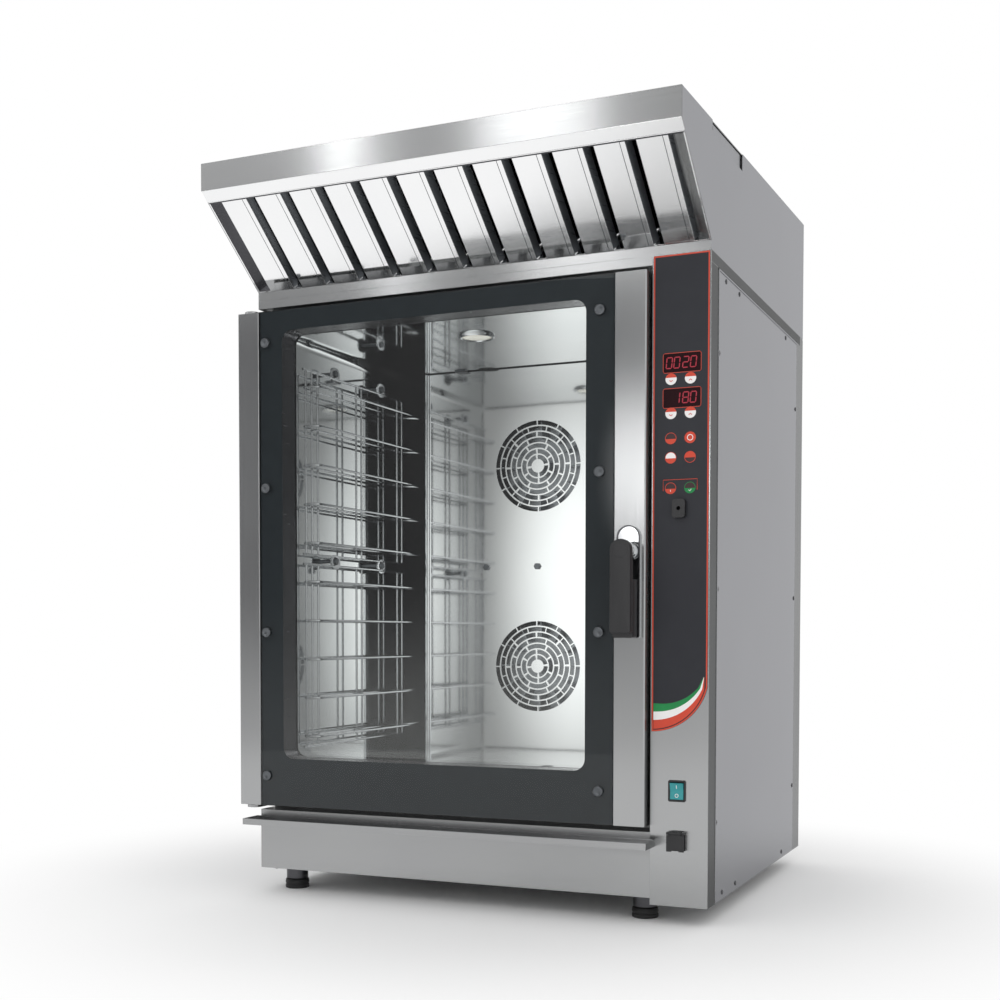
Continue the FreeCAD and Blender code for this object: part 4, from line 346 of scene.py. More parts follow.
def polished(name, low="#d2d4d5", high="#e4e5e5", sheen=0.10, wave=0.0004):
    """Bright rolled stainless sheet: a mirror with waves a hand wide and faint wipe marks."""
    material, tree, shader, where = finish(name, high, 1.0, sheen)
    waves = grained(tree, where, (7.0, 7.0, 7.0), 1.0)
    wipes = grained(tree, where, (30.0, 30.0, 400.0))
    tint(tree, waves, low, high, shader)
    spread(tree, wipes, sheen * 0.6, sheen * 1.5, shader, "Roughness")
    bumped(tree, waves, wave, shader, 0.0008)
    return material


brushed_x = brushed("brushed_stainless_across", "x")
brushed_y = brushed("brushed_stainless_deep", "y", "#a3a4a6", "#a7a8aa", "#d0d0d2")
brushed_z = brushed("brushed_stainless_upright", "z")
# A darker copy of the upright brushed steel is painted shade, for strips that lie in the shadow of other
# parts.
painted_shade_z = brushed("painted_shade_stainless_upright", "z", "#868788", "#919292", "#9a9a9a")
bright_sheet = polished("bright_rolled_stainless")
mirror_sheet = polished("mirror_rolled_stainless", "#eff0f1", "#f8f8f8", 0.06, 0.0002)
chrome = polished("chromed_steel", "#cfd1d3", "#e2e3e4", 0.07)
wire_chrome = polished("chromed_wire", "#b4b6b8", "#cccdcf", 0.08)
# Dark steel is the own tone of the window spacer and several small parts, and also painted shade: on the leg
# sleeves in place of the dark their chrome would reflect, and in the strip along the gap at the filter's
# top.
dark_steel_and_painted_shade = polished("blackened_steel_and_painted_shade", "#4a4a4d", "#5c5c5f", 0.22)
# Grey steel is the own tone of the glass bolts and the cavity's fixings, and also painted shade on the
# filter's flanges and the seams on its channels.
grey_steel_and_painted_shade = polished("grey_passivated_steel_and_painted_shade", "#595c5f", "#686b6e", 0.3)
print("stainless:", brushed_x.name, brushed_z.name, bright_sheet.name, chrome.name, dark_steel_and_painted_shade.name)

# %% [markdown]
# The cavity liner is the same bright sheet. Behind the fan baffle its colour is darkened as painted shade
# for the shadowed space there. The mask is the depth itself: everything further back than the baffle
# goes dark.

# %% Cavity sheet
baffle_low, baffle_high = span("fan_baffle")
cavity_sheet, tree, shader, where = finish("rolled_stainless_with_painted_shade", "#d9dadb", 1.0, 0.05)
waves = grained(tree, where, (7.0, 7.0, 7.0), 1.0)
unshaded = tint(tree, waves, "#dadcdd", "#e9eaea", shader)
depth = add(tree, "ShaderNodeSeparateXYZ", links={0: where}).outputs["Y"]
# Painted shade: past the baffle the liner's colour runs to near black.
shade_start, shade_full = baffle_low[1] * MM + 0.015, baffle_low[1] * MM + 0.04
behind = add(tree, "ShaderNodeMapRange", {"From Min": shade_start, "From Max": shade_full}, {"Value": depth})
shade_behind_baffle = add(tree, "ShaderNodeMix", {"data_type": "RGBA", 7: linear("#1c1b1b")},
               {0: behind.outputs[0], 6: unshaded})
tree.links.new(shade_behind_baffle.outputs[2], shader.inputs["Base Color"])
spread(tree, grained(tree, where, (30.0, 30.0, 400.0)), 0.03, 0.07, shader, "Roughness")
bumped(tree, waves, 0.0003, shader, 0.0008)
print("cavity sheet darkens behind", round(float(baffle_low[1]), 1), "mm")

# %% [markdown]
# Plastics, rubber and films. Moulded parts carry the fine spark-eroded grain of their tool, about 0.4 mm.

# %% Plastics, rubber and film


def moulded(name, low, high, roughness, grain=0.0004, depth=0.00002, gloss=0.5, edge=0.0008):
    """Moulded plastic or rubber: two close tones in slow clouds, a fine tool grain, and rounded edges."""
    material, tree, shader, where = finish(name, high, 0.0, roughness, **{"Specular IOR Level": gloss})
    clouds = grained(tree, where, (40.0, 40.0, 40.0))
    grit = grained(tree, where, [1 / grain] * 3)
    tint(tree, clouds, low, high, shader)
    spread(tree, grit, roughness * 0.8, roughness * 1.2, shader, "Roughness")
    bumped(tree, grit, depth, shader, edge)
    return material


def screen_ink(name, low, high):
    """Screen ink: a flat matt film, too thin to have an edge."""
    return moulded(name, low, high, 0.42, 0.0006, 0.000006, 0.25, 0.0)


black_plastic = moulded("black_polyamide_and_painted_shade", "#1b1b1d", "#252527", 0.42)
boot_rubber = moulded("black_rubber", "#151516", "#1e1e1f", 0.6, 0.0008)
gasket = moulded("silicone_rubber", "#303031", "#3c3c3d", 0.55, 0.0008)
overlay_film = moulded("polyester_overlay", "#2b2c31", "#303136", 0.38, 0.0006, 0.000008, 0.2, 0.0)
window = moulded("smoked_red_acrylic", "#1d090d", "#2a0d13", 0.35, 0.02, 0.00001, 0.08)
teal = moulded("teal_polycarbonate", "#237f85", "#3aa0a3", 0.25, 0.003, 0.00003)
ink_red = screen_ink("red_screen_ink", "#c8432f", "#d24e39")
ink_white = screen_ink("white_screen_ink", "#e8e6e4", "#f2f0ef")
ink_green = screen_ink("green_screen_ink", "#1b7d42", "#238d4d")
ink_dark = screen_ink("dark_screen_ink", "#3a2a2b", "#453334")
laminate = moulded("green_board_laminate", "#1d4d31", "#2a6340", 0.35, 0.0025)
wool = moulded("mineral_wool", "#a79a78", "#c2b590", 0.9, 0.0015, 0.0006)
motor_paint = moulded("grey_motor_enamel", "#3a4146", "#454d53", 0.35, 0.0012)
print("plastics:", black_plastic.name, overlay_film.name, teal.name)

# %% [markdown]
# Glass, its enamel, and what glows. The panes are clear toughened glass. They cast no shadow, so that the
# studio light reaches the cavity as it does through a real pane. The digits and the lamp's frosted glass
# shine by themselves.

# %% Glass, enamel and lit digits
glass, tree, shader, where = finish("toughened_glass", "#fcfefd", 0.0, 0.0,
                                    **{"Transmission Weight": 1.0, "IOR": 1.45})
spread(tree, grained(tree, where, (3.0, 3.0, 3.0)), 0.0, 0.01, shader, "Roughness")

frit = moulded("black_glass_enamel", "#262c30", "#2d3438", 0.5, 0.004, 0.000001, 0.1, 0.0)

lit, tree, shader, where = finish("lit_red_segments", "#5d0c1a", 0.0, 0.4, **{"Emission Strength": 0.45})
tint(tree, grained(tree, where, (500.0, 500.0, 500.0)), "#b0152f", "#e52a4a", shader, "Emission Color")

lamp_glass, tree, shader, where = finish("frosted_lamp_glass", "#f4f1ea", 0.0, 0.3,
                                         **{"Emission Strength": 0.35})
tint(tree, grained(tree, where, (400.0, 400.0, 400.0)), "#f2ead8", "#fffaf0", shader, "Emission Color")
print("glass:", glass.name, frit.name, lit.name, lamp_glass.name)

# %% [markdown]
# Metals that sit inside: fan sheet dulled in patches by heat, heater tube tinted by it, and turned brass.

# %% Inner metals


def tinted_metal(name, low, high, roughness, size):
    """Bare metal with patches of two tones, size metres across."""
    material, tree, shader, where = finish(name, high, 1.0, roughness)
    cells = add(tree, "ShaderNodeTexVoronoi", {"Scale": 1 / size}, {"Vector": where})
    tint(tree, cells.outputs["Distance"], low, high, shader)
    spread(tree, cells.outputs["Distance"], roughness * 0.8, roughness * 1.3, shader, "Roughness")
    bumped(tree, cells.outputs["Distance"], 0.00003, shader, 0.0006)
    return material


fan_sheet = tinted_metal("heat_dulled_fan_sheet", "#93969a", "#aeb1b4", 0.35, 0.008)
heater = tinted_metal("heat_tinted_heater_tube", "#3b3633", "#5a5048", 0.4, 0.02)
brass = tinted_metal("turned_brass", "#a9823e", "#c29b55", 0.25, 0.004)
print("inner metals:", fan_sheet.name, heater.name, brass.name)

# %% [markdown]
# The CAD nodes carry the slot names of the record. Each slot gets its finish, and a few nodes take the
# grain that runs their own way.

# %% Dress the nodes
slot_finish = {
    "brushed_stainless": brushed_x, "polished_stainless": bright_sheet, "tempered_glass": glass,
    "overlay_film": overlay_film, "display_plastic": window, "black_plastic": black_plastic,
    "teal_plastic": teal, "board_laminate": laminate, "silicone_rubber": gasket, "mineral_wool": wool,
    "fan_steel": fan_sheet, "motor_paint": motor_paint, "heater_steel": heater, "inlet_brass": brass}
own_finish = {
    "left_panel": brushed_y, "right_panel": brushed_y, "hood_left_side": brushed_y,
    "hood_right_side": brushed_y, "hinge_side_stile": brushed_z, "handle_side_stile": brushed_z,
    "control_column": brushed_z, "handle_plate": chrome, "cavity_liner": cavity_sheet,
    "window_spacer": dark_steel_and_painted_shade, "grease_filter": mirror_sheet, "cavity_fixings": grey_steel_and_painted_shade}
for name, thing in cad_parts.items():
    for place in thing.material_slots:
        known = place.material.name.split(".")[0] if place.material else ""
        place.material = own_finish.get(name, slot_finish.get(known, brushed_x))
for name in ("outer_glass", "inner_glass"):
    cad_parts[name].visible_shadow = False
print("dressed", len(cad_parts), "nodes")

# %% [markdown]
# The enamel border is fired onto the back of the outer pane. It is a flat frame with a rounded window, a
# fifth of a millimetre thick, just inside the glass.

# %% Enamel border of the door glass
glass_low, glass_high = span("outer_glass")
window_edge = rounded(-345.8, 232.2, 247, 1019, 20)
border_edge = rounded(glass_low[0] + 0.6, glass_high[0] - 0.6, glass_low[2] + 0.6, glass_high[2] - 0.6, 1.0)
piece("enamel_border", [band(border_edge, window_edge, glass_high[1] - 0.35, glass_high[1] - 0.15)],
      "door", frit, smooth=False)

# %% [markdown]
# Between the panes the window is framed by a dark spacer, and a bright bead runs round its inner edge.
# The bead is a thin wire carried along the window's outline.

# %% Window bead
bead_path = upright(inset(window_edge, -1.2), span("inner_glass")[0][1] - 1.0)
piece("window_bead", [wire(bead_path, 0.8, (0, 1, 0), True, 8)], "door", chrome)

# %% [markdown]
# The glass is held by eight flat caps of steel. A turned profile gives the shallow dish, its rolled rim,
# and the shank and boss behind the pane.

# %% Glass bolts
bolt_low, bolt_high = span("glass_bolts")
tip, pane, rear_end = bolt_low[1], glass_low[1], bolt_high[1]
cap = [(0.3, tip + 0.6), (5.0, tip + 0.6), (5.6, tip + 0.1), (6.8, tip), (8.0, tip + 0.3), (8.8, tip + 1.3),
       (9.0, pane), (4.0, pane), (4.0, pane + 6), (9.0, pane + 6), (9.0, pane + 20), (4.0, pane + 20),
       (4.0, rear_end)]
BOLT_X, BOLT_Z = (-377.8, 257.2), (215.0, 476.0, 737.0, 998.0)
bolts = [turned(cap, (x, 0, z), "y", 28) for x in BOLT_X for z in BOLT_Z]
piece("dished_glass_bolts", bolts, "door", grey_steel_and_painted_shade, ("glass_bolts",))

# %% [markdown]
# The fan baffle is one sheet with two round grilles. Round each fan the sheet is a polar grid: its rows
# are circles, every second row is a ring of slots, and a cell stays where a web crosses the ring. From
# the last circle the sheet runs straight out to the edge of its half. The halves meet midway between the
# fans, where their points coincide and are merged. A Solidify modifier gives the sheet its gauge, and
# both upright edges are folded into a bright lip.

# %% Fan baffle with its grilles
COLUMNS, SLOTS = 192, (4, 6, 6, 8, 8, 12, 12)
FIRST_SLOT, SLOT_PITCH, SLOT_WIDTH, WEB, GRILLE_RADIUS = 14.0, 11.7, 8.6, 3.2, 101.0


def grille_sheet(x0, x1, z0, z1, centre, depth):
    """Half of the baffle: circles about centre, slot cells left out, and a last row on the half's edge."""
    turn = circle(COLUMNS)
    facing = np.stack([np.cos(turn), np.sin(turn)], -1)
    first = FIRST_SLOT + SLOT_PITCH * np.arange(len(SLOTS))
    radii = np.concatenate([[0.0], np.stack([first, first + SLOT_WIDTH], -1).ravel(), [GRILLE_RADIUS]])
    rows = centre + radii[:, None, None] * facing
    reach = np.where(facing > 0, np.array([x1, z1]) - centre, centre - np.array([x0, z0]))
    edge = centre + facing * np.min(reach / np.maximum(np.abs(facing), 1e-9), axis=1)[:, None]
    for corner in ((x0, z0), (x1, z0), (x1, z1), (x0, z1)):
        edge[np.argmin(np.linalg.norm(edge - corner, axis=1))] = corner
    rows = np.concatenate([rows, edge[None]])
    points = np.stack([rows[..., 0], np.full(rows.shape[:2], depth), rows[..., 1]], -1)
    kept = np.ones((len(rows) - 1, COLUMNS), bool)
    for ring, count in enumerate(SLOTS):
        pitch = COLUMNS // count
        web = max(1, round(WEB / (first[ring] * 2 * math.pi / COLUMNS)))
        kept[1 + 2 * ring] = (np.arange(COLUMNS) + ring % 2 * pitch // 2) % pitch < web
    row, column = np.nonzero(kept)
    beside = (column + 1) % COLUMNS
    here, there = row * COLUMNS, (row + 1) * COLUMNS
    quads = np.stack([here + column, here + beside, there + beside, there + column], -1)
    return points.reshape(-1, 3), quads


gauge = baffle_high[1] - baffle_low[1]
LOWER_FAN, UPPER_FAN = 407.0, 819.0
middle_x, half_z = (baffle_low[0] + baffle_high[0]) / 2, (LOWER_FAN + UPPER_FAN) / 2
sheet_y = baffle_low[1] + gauge / 2
halves = [grille_sheet(baffle_low[0], baffle_high[0], z0, z1, np.array([middle_x, fan_z]), sheet_y)
          for z0, z1, fan_z in ((baffle_low[2], half_z, LOWER_FAN), (half_z, baffle_high[2], UPPER_FAN))]
piece("fan_baffle_sheet", halves, "oven", mirror_sheet, ("fan_baffle",), False, gauge)
folds = []
for x in (baffle_low[0], baffle_high[0] - 7.0):
    plan = rounded(x, x + 7.0, baffle_low[1] - 9.0, baffle_low[1] + 0.2, 2.5)
    folds.append(stack([level(plan, z) for z in (baffle_low[2] + 0.5, baffle_high[2] - 0.5)]))
piece("baffle_side_folds", folds, "oven", chrome)

# %% [markdown]
# The racks are welded from round chromed wire. Each level is one closed loop, whose far end is drawn to a
# point; groups of uprights carry the loops, and round-topped ears hang the section on the wall's pegs.

# %% Tray racks
FIRST_LEVEL, LEVEL_PITCH = 281.0, 72.5


def loop(guard, rail, front, back, nose, z):
    """A closed loop of wire in a level plane: straight sides, a rounded front, and the guard side drawn over
    to the rail side at the back, where the two meet in a point."""
    middle, half = (guard + rail) / 2, (rail - guard) / 2
    round_front = front + abs(half)
    turn = np.linspace(-math.pi, 0, 12)
    front_arc = np.stack([middle + half * np.cos(turn), round_front + abs(half) * np.sin(turn)], -1)
    rail_side = np.stack([np.full(12, rail), np.linspace(round_front, back, 12)], -1)[1:]
    share = np.linspace(1, 0, 10)[1:]
    tip = np.stack([guard + (rail - guard) * share ** 2 * 0.94, back - nose * (1 - share)], -1)
    guard_side = np.stack([np.full(12, guard), np.linspace(back - nose, round_front, 12)], -1)[1:-1]
    return level(np.concatenate([front_arc, rail_side, tip, guard_side]), z)


def rack_wires(upright_x, rail_x, guard_x):
    """All wires of one side: two sections of five levels, each with its uprights, two bars and two ears."""
    parts = []
    front, back = -203.5, 228.5
    stations = (-194.0, -172.0, -150.0, 2.0, 24.0, 182.0, 204.5)
    for section in range(2):
        levels = FIRST_LEVEL + LEVEL_PITCH * (np.arange(5) + 5 * section)
        foot, top = levels[0] - 20, levels[-1] + 34
        for station in stations:
            parts.append(wire([(upright_x, station, foot), (upright_x, station, top)], 2.2, (1, 0, 0)))
        for height, radius in ((top, 2.5), (foot, 2.2)):
            parts.append(wire([(upright_x, front, height), (upright_x, back, height)], radius, (0, 0, 1)))
        for z in levels:
            parts.append(wire(loop(guard_x, rail_x, front, back, 26.0, z), 2.3, (0, 0, 1), True))
        for station in (-83.5, 108.5):
            ear = rounded(station - 17, station + 17, top - 6, top + 22, 13.5)
            parts.append(carried(ear, upright_x - 1.5, upright_x + 1.5))
    return parts


for side, upright_x, rail_x, guard_x in (("left", -357.8, -325.8, -362.7), ("right", 248.2, 216.2, 253.1)):
    piece(side + "_rack_wires", rack_wires(upright_x, rail_x, guard_x), "oven",
          wire_chrome, (side + "_racks",))

# %% [markdown]
# The cavity lamp is a frosted lens in a turned ring, set into the ceiling.

# %% Cavity lamp
lamp_low, lamp_high = span("cavity_lamp")
lamp_x, lamp_y = (lamp_low[:2] + lamp_high[:2]) / 2
face, seat = lamp_low[2], lamp_high[2]
bowl = [(0.3, face + 0.4), (15.0, face + 0.6), (24.0, face + 2.4), (27.5, face + 5), (27.5, face + 9),
        (18.0, seat)]
rim = [(27.8, face + 8), (27.8, face + 2.0), (29.5, face + 0.2), (31.5, face), (33.6, face + 2.2),
       (34.0, face + 8)]
piece("lamp_lens", [turned(bowl, (lamp_x, lamp_y, 0), "z", 40)], "oven", lamp_glass,
      ("cavity_lamp",))
piece("lamp_ring", [turned(rim, (lamp_x, lamp_y, 0), "z", 40, True)], "oven", chrome)

# %% [markdown]
# The handle is a black moulded lever in front of a chromed arch plate. The lever's slab is rounded like a
# bar of soap, a fine ring marks the cap over its pivot, and a deeper block behind its lower half gives
# the hand its hold.

# %% Handle
lever_low, lever_high = span("handle_lever")
plate_low, plate_high = span("handle_plate")
pivot_x, pivot_z = 308.2, 607.0
slab_foot, grip_head, grip_back, arch_z = 474.0, 561.0, -313.5, 629.0
lever_half = (lever_high[0] - lever_low[0]) / 2
slab_back = lever_low[1] + 16
grip_edge = rounded(lever_low[0] + 0.2, lever_high[0] - 0.2, lever_low[2], grip_head, 3.5)
cap_ring = np.stack([pivot_x + 12.5 * np.cos(circle(40)), np.full(40, lever_low[1] + 0.1),
                     pivot_z + 12.5 * np.sin(circle(40))], -1)
lever = [slab(arched(pivot_x, lever_half, pivot_z, slab_foot, 4.0), lever_low[1], slab_back, 2.6, 0.8, 6),
         slab(grip_edge, slab_back - 0.5, grip_back, 0.6, 2.4), wire(cap_ring, 0.45, (0, 1, 0), True, 8)]
piece("moulded_lever", lever, "handle", black_plastic, ("handle_lever",))
hub = [(11.0, slab_back - 1), (13.0, slab_back), (13.0, slab_back + 9), (14.6, slab_back + 10.5),
       (14.6, slab_back + 15), (12.0, slab_back + 17), (12.0, lever_high[1])]
piece("lever_hub", [turned(hub, (pivot_x, 0, pivot_z), "y", 40)], "handle", chrome)
arch = arched(pivot_x, (plate_high[0] - plate_low[0]) / 2, arch_z, plate_low[2], 3.0)
piece("plate_rim", [band(arch, inset(arch, 2.4), plate_low[1] - 1.4, plate_low[1] + 0.3)],
      "door", dark_steel_and_painted_shade)

# %% [markdown]
# Each foot is a rubber boot on a threaded stem, with two grooves moulded into its wall. Above it a steel
# sleeve, nearly as wide as the boot, covers the thread. Its dark tone is a painted reflection of the shade
# under the oven. It belongs to the oven and doesn't turn with the foot.

# %% Feet
boot = [(20.4, 0.0), (21.7, 0.7), (22.0, 2.0), (22.0, 6.4), (20.9, 7.1), (20.9, 8.6), (22.0, 9.3),
        (22.0, 13.2), (21.2, 13.8), (21.2, 14.8), (21.8, 15.3), (20.6, 17.0), (7.0, 17.0), (7.0, 41.0)]
sleeve = [(14.4, 18.2), (19.2, 18.2), (20.0, 18.9), (20.0, 44.0), (14.4, 44.0)]
sleeves = []
for node in ("front_left_foot", "front_right_foot", "rear_left_foot", "rear_right_foot"):
    low, high = span(node)
    stand_at = ((low[0] + high[0]) / 2, (low[1] + high[1]) / 2, 0.0)
    side = node.replace("_foot", "")
    piece(side + "_boot", [turned(boot, stand_at, "z", 40)], "foot_" + side, boot_rubber,
          (node,))
    sleeves.append(turned(sleeve, stand_at, "z", 40, True))
piece("leg_sleeves", sleeves, "oven", dark_steel_and_painted_shade)

# %% [markdown]
# The side panels are held by small pan-head screws. The CAD node has a four-sided block for each; its
# corners, sorted into groups less than 12 mm across, say where the heads go. A slot lies across each head,
# black as painted shade in its recess. The rear panel has two rows of the same heads.

# %% Screw heads
PAN_HEAD = np.array([(4.3, -0.5), (4.3, 0.5), (3.7, 1.1), (2.2, 1.4), (0.3, 1.5)])
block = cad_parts["side_screws"].data
corner = np.empty(len(block.vertices) * 3, np.float32)
block.vertices.foreach_get("co", corner)
corner = corner.reshape(-1, 3) / MM
near = np.linalg.norm(corner[:, None] - corner[None], axis=2) < 12
group = np.argmax(near, axis=1)
heads, slots = [], []
for first in np.unique(group):
    own = corner[group == first]
    middle = (own.min(0) + own.max(0)) / 2
    side = math.copysign(1.0, middle[0])
    base = (own[:, 0] * side).min()
    heads.append(turned((PAN_HEAD + (0, base)) * (1, side), (0, middle[1], middle[2]), "x", 20))
    bar = rounded(middle[1] - 3.2, middle[1] + 3.2, middle[2] - 0.7, middle[2] + 0.7, 0.5, 3)
    slots.append(carried(bar, side * (base + 0.6), side * (base + 1.57)))
piece("side_screw_heads", heads, "oven", dark_steel_and_painted_shade, ("side_screws",))
piece("side_screw_slots", slots, "oven", black_plastic)
rear_face = span("base_pan")[1][1] + 1.5
REAR_X, REAR_Z = (-388.0, 418.0), np.linspace(95, 1045, 7)
rear_heads = [turned(PAN_HEAD + (0, rear_face), (x, 0, z), "y", 20) for x in REAR_X for z in REAR_Z]
piece("rear_screw_heads", rear_heads, "oven", dark_steel_and_painted_shade)

# %% [markdown]
# The hood's right side is cut out near its front. A second sheet stands a few millimetres behind the
# cut-out, so that it shows as a pale recess, with a pin at its front end.

# %% Sheet behind the cut-out
side_x = span("hood_right_side")[1][0]
cut_front, cut_back, cut_foot, cut_head = -290.0, -74.0, 1254.0, 1288.0
roof_slope = 40 / 929
climb = (cut_back - cut_front) * roof_slope
outline = np.array([[cut_front, cut_foot], [cut_back, cut_foot + climb],
                    [cut_back, cut_head], [cut_front, cut_head - climb]])
behind_cut = carried(outline, side_x - 4.0, side_x - 3.0)
pin = [(2.4, side_x - 3.2), (2.4, side_x - 1.0), (1.6, side_x - 0.5), (0.2, side_x - 0.4)]
piece("cut_out_sheet", [behind_cut, turned(pin, (0, -276.0, 1272.0), "x", 20)],
      "oven", brushed_y, smooth=False)

# %% [markdown]
# On the right the column's return and the edge of the top cover lie in the shade of the panel that stands
# proud of them. That shade is painted: they are thin strips on the casing in a darker copy of the brushed
# steel, and the panel's own front edge closes them off.

# %% Side strips in painted shade
panel_low, panel_high = span("right_panel")
cover_low, cover_high = span("top_cover")
column_low, column_high = span("control_column")


def side_strip(y0, y1, z0, z1, proud=0.25):
    """A thin upright strip on the right side of the casing."""
    outline = np.array([[y0, z0], [y1, z0], [y1, z1], [y0, z1]])
    return carried(outline, panel_high[0] - 0.5, panel_high[0] + proud)


shade_strips = [side_strip(column_low[1] + 0.5, column_high[1], column_low[2] + 0.5, panel_high[2]),
         side_strip(cover_low[1] + 0.5, cover_high[1] - 0.5, panel_high[2] + 1.5, cover_high[2] - 0.5)]
piece("side_shade_strips", shade_strips, "oven", painted_shade_z, smooth=False)
edges = [side_strip(panel_low[1], panel_low[1] + 3, panel_low[2], panel_high[2], 1.3),
         side_strip(panel_low[1], panel_high[1], panel_high[2] - 2.5, panel_high[2], 1.0)]
piece("panel_edges", edges, "oven", brushed_y, smooth=False)
fascia_low, fascia_high = span("hood_fascia")
seam = side_strip(fascia_low[1] + 0.1, fascia_low[1] + 2.6, fascia_low[2] + 14.0, fascia_high[2] - 0.5)
piece("hood_corner_seam", [seam], "oven", dark_steel_and_painted_shade, smooth=False)

# %% [markdown]
# On the hood's slope each front channel has a flange that slants back into the gap beside it, dark as
# painted shade, and down its face a thin dark strip, the painted shadow of its hemmed seam. The two ends
# of the filter are closed by tilted strips, the right one in painted shade, and a narrow dark strip along
# its top is the painted shadow of the gap there. Each is a section in width and depth behind the slope,
# carried up the slope.

# %% Flanges and end strips of the grease filter
SLOPE_FOOT, SLOPE_HEAD = np.array([-285.5, 1095.0]), np.array([-445.5, 1214.0])
run = (SLOPE_HEAD - SLOPE_FOOT) / np.linalg.norm(SLOPE_HEAD - SLOPE_FOOT)
inward = np.array([run[1], -run[0]])
slope_length = np.linalg.norm(SLOPE_HEAD - SLOPE_FOOT)


def on_slope(outline, low, high):
    """A folded strip: its section, as (x, depth behind the slope), carried from low to high up the slope."""
    section = np.array(outline, float)
    ends = []
    for along in (low, high):
        place = SLOPE_FOOT + along * run + section[:, 1:] * inward
        ends.append(np.stack([section[:, 0], place[:, 0], place[:, 1]], -1))
    return stack(ends)


def strip(x0, depth0, x1, depth1, gauge=0.8):
    """Section of a flat strip between two points, with its gauge towards the back."""
    return [(x0, depth0), (x1, depth1), (x1, depth1 + gauge), (x0, depth0 + gauge)]


first_channel, channel_pitch, channel_half = -353.3, 67.0, 24.5
middles = first_channel + channel_pitch * np.arange(12)
flanges = [on_slope([(x, 0.6), (x + 7.5, 11.5), (x + 7.0, 12.1), (x, 1.4)], 3.0, slope_length - 3.0)
           for x in middles + channel_half]
shadow_seams = [on_slope(strip(x - 8.6, -0.1, x - 7.6, -0.1, 0.3), 3.0, slope_length - 3.0)
         for x in middles + channel_half]
piece("channel_flanges", flanges + shadow_seams, "oven", grey_steel_and_painted_shade, smooth=False)
filter_low, filter_high = span("grease_filter")
left_end = strip(filter_low[0] + 0.8, 1.0, middles[0] - channel_half - 1.0, 13.0)
right_end = strip(middles[-1] + channel_half + 2.0, 9.0, filter_high[0] - 1.5, 1.0)
top_gap = strip(filter_low[0] + 0.5, -0.2, filter_high[0] - 0.5, -0.2, 0.4)
piece("filter_left_end", [on_slope(left_end, 2.0, slope_length - 2.0),
                          on_slope(top_gap, slope_length - 3.6, slope_length - 1.4)],
      "oven", dark_steel_and_painted_shade, smooth=False)
piece("filter_right_end", [on_slope(right_end, 2.0, slope_length - 2.0)],
      "oven", painted_shade_z, smooth=False)

# %% [markdown]
# The fascia's lower edge is folded back under the hood. The fold keeps its mill-bright face, and catches
# the light from the floor.

# %% Fold under the fascia
fold_front, fold_back = fascia_low[1] + 0.15, fascia_high[1] - 0.3
fold = np.array([(fold_front, 1227.7), (fold_back, fascia_low[2] - 0.05), (fold_back, fascia_low[2] + 0.3),
                 (fold_front, 1228.1)])
piece("fascia_fold", [carried(fold, fascia_low[0] + 0.3, fascia_high[0] - 0.3)],
      "oven", mirror_sheet, smooth=False)

# %% [markdown]
# The overlay film is printed with a thin red line round its edge and, along the arc at its foot, three
# plain stripes that taper to a point at the right.

# %% Printed lines and stripes of the overlay
film_front = span("control_overlay")[0][1]
print_face, print_foot = film_front - 0.12, film_front + 0.05


def film_edge(left, right, top, sweep_centre, radius, steps=24):
    """The overlay's outline: straight sides, and a foot that sweeps up to the right on a circle."""
    limit = math.asin(min(1.0, (right - sweep_centre[0]) / radius))
    start = math.asin(max(0.0, (left - sweep_centre[0]) / radius))
    turn = np.linspace(start, limit, steps)
    arc = np.stack([sweep_centre[0] + radius * np.sin(turn), sweep_centre[1] - radius * np.cos(turn)], -1)
    return np.concatenate([arc, [[right, top], [left, top]]])


def printed(shape, rise=0.12):
    """A printed mark: its outline raised a little off the film."""
    return stack([upright(shape, film_front - rise), upright(shape, print_foot)])


sweep_centre = (341.2, 409.78)
outer_line = film_edge(341.5, 432.9, 1078.2, sweep_centre, 94.4)
inner_line = film_edge(343.7, 430.7, 1076.0, sweep_centre, 92.2)
piece("red_edge_line", [band(outer_line, inner_line, print_face, print_foot)],
      "oven", ink_red, smooth=False)
STRIPE_RADIUS, STRIPE_START, STRIPE_REACH = 90.6, 3.2, 87.0


def stripe_edge(width, steps=48):
    """A stripe's border: the sweep's circle, drawn in by a width that runs out towards the right end."""
    share = np.linspace(0, 1, steps)
    start, end = math.asin(STRIPE_START / (STRIPE_RADIUS - width)), math.radians(88)
    turn = start + (end - start) * share
    radius = np.minimum(STRIPE_RADIUS, STRIPE_REACH / np.sin(turn)) - width * (1 - share ** 1.5)
    return np.stack([sweep_centre[0] + radius * np.sin(turn), sweep_centre[1] - radius * np.cos(turn)], -1)


for name, ink, outer, inner in (("red_stripe", ink_red, 0.0, 14.5), ("white_stripe", ink_white, 14.5, 28.0),
                                ("green_stripe", ink_green, 28.0, 41.5)):
    stripe = band(stripe_edge(outer)[:-1], stripe_edge(inner)[:-1], print_face, print_foot, False)
    piece(name, [stripe], "oven", ink, smooth=False)

# %% [markdown]
# On the real oven lit seven-segment digits shine through a smoked window. The window is opaque here, so
# the digits lie a quarter of a millimetre in front of it. A segment is a flat six-sided bar; which of the
# seven are lit makes the number.

# %% Display digits
SEGMENTS = {"0": "abcdef", "1": "bc", "2": "abged", "8": "abcdefg"}


def segment(x, z, length, width, upright_bar):
    """One segment as a six-sided outline about (x, z), lying or standing."""
    half, wide = length / 2, width / 2
    shape = np.array([[half, 0], [half - wide, wide], [wide - half, wide],
                      [-half, 0], [wide - half, -wide], [half - wide, -wide]])
    if upright_bar:
        shape = np.stack([-shape[:, 1], shape[:, 0]], -1)
    return shape + np.array([x, z])


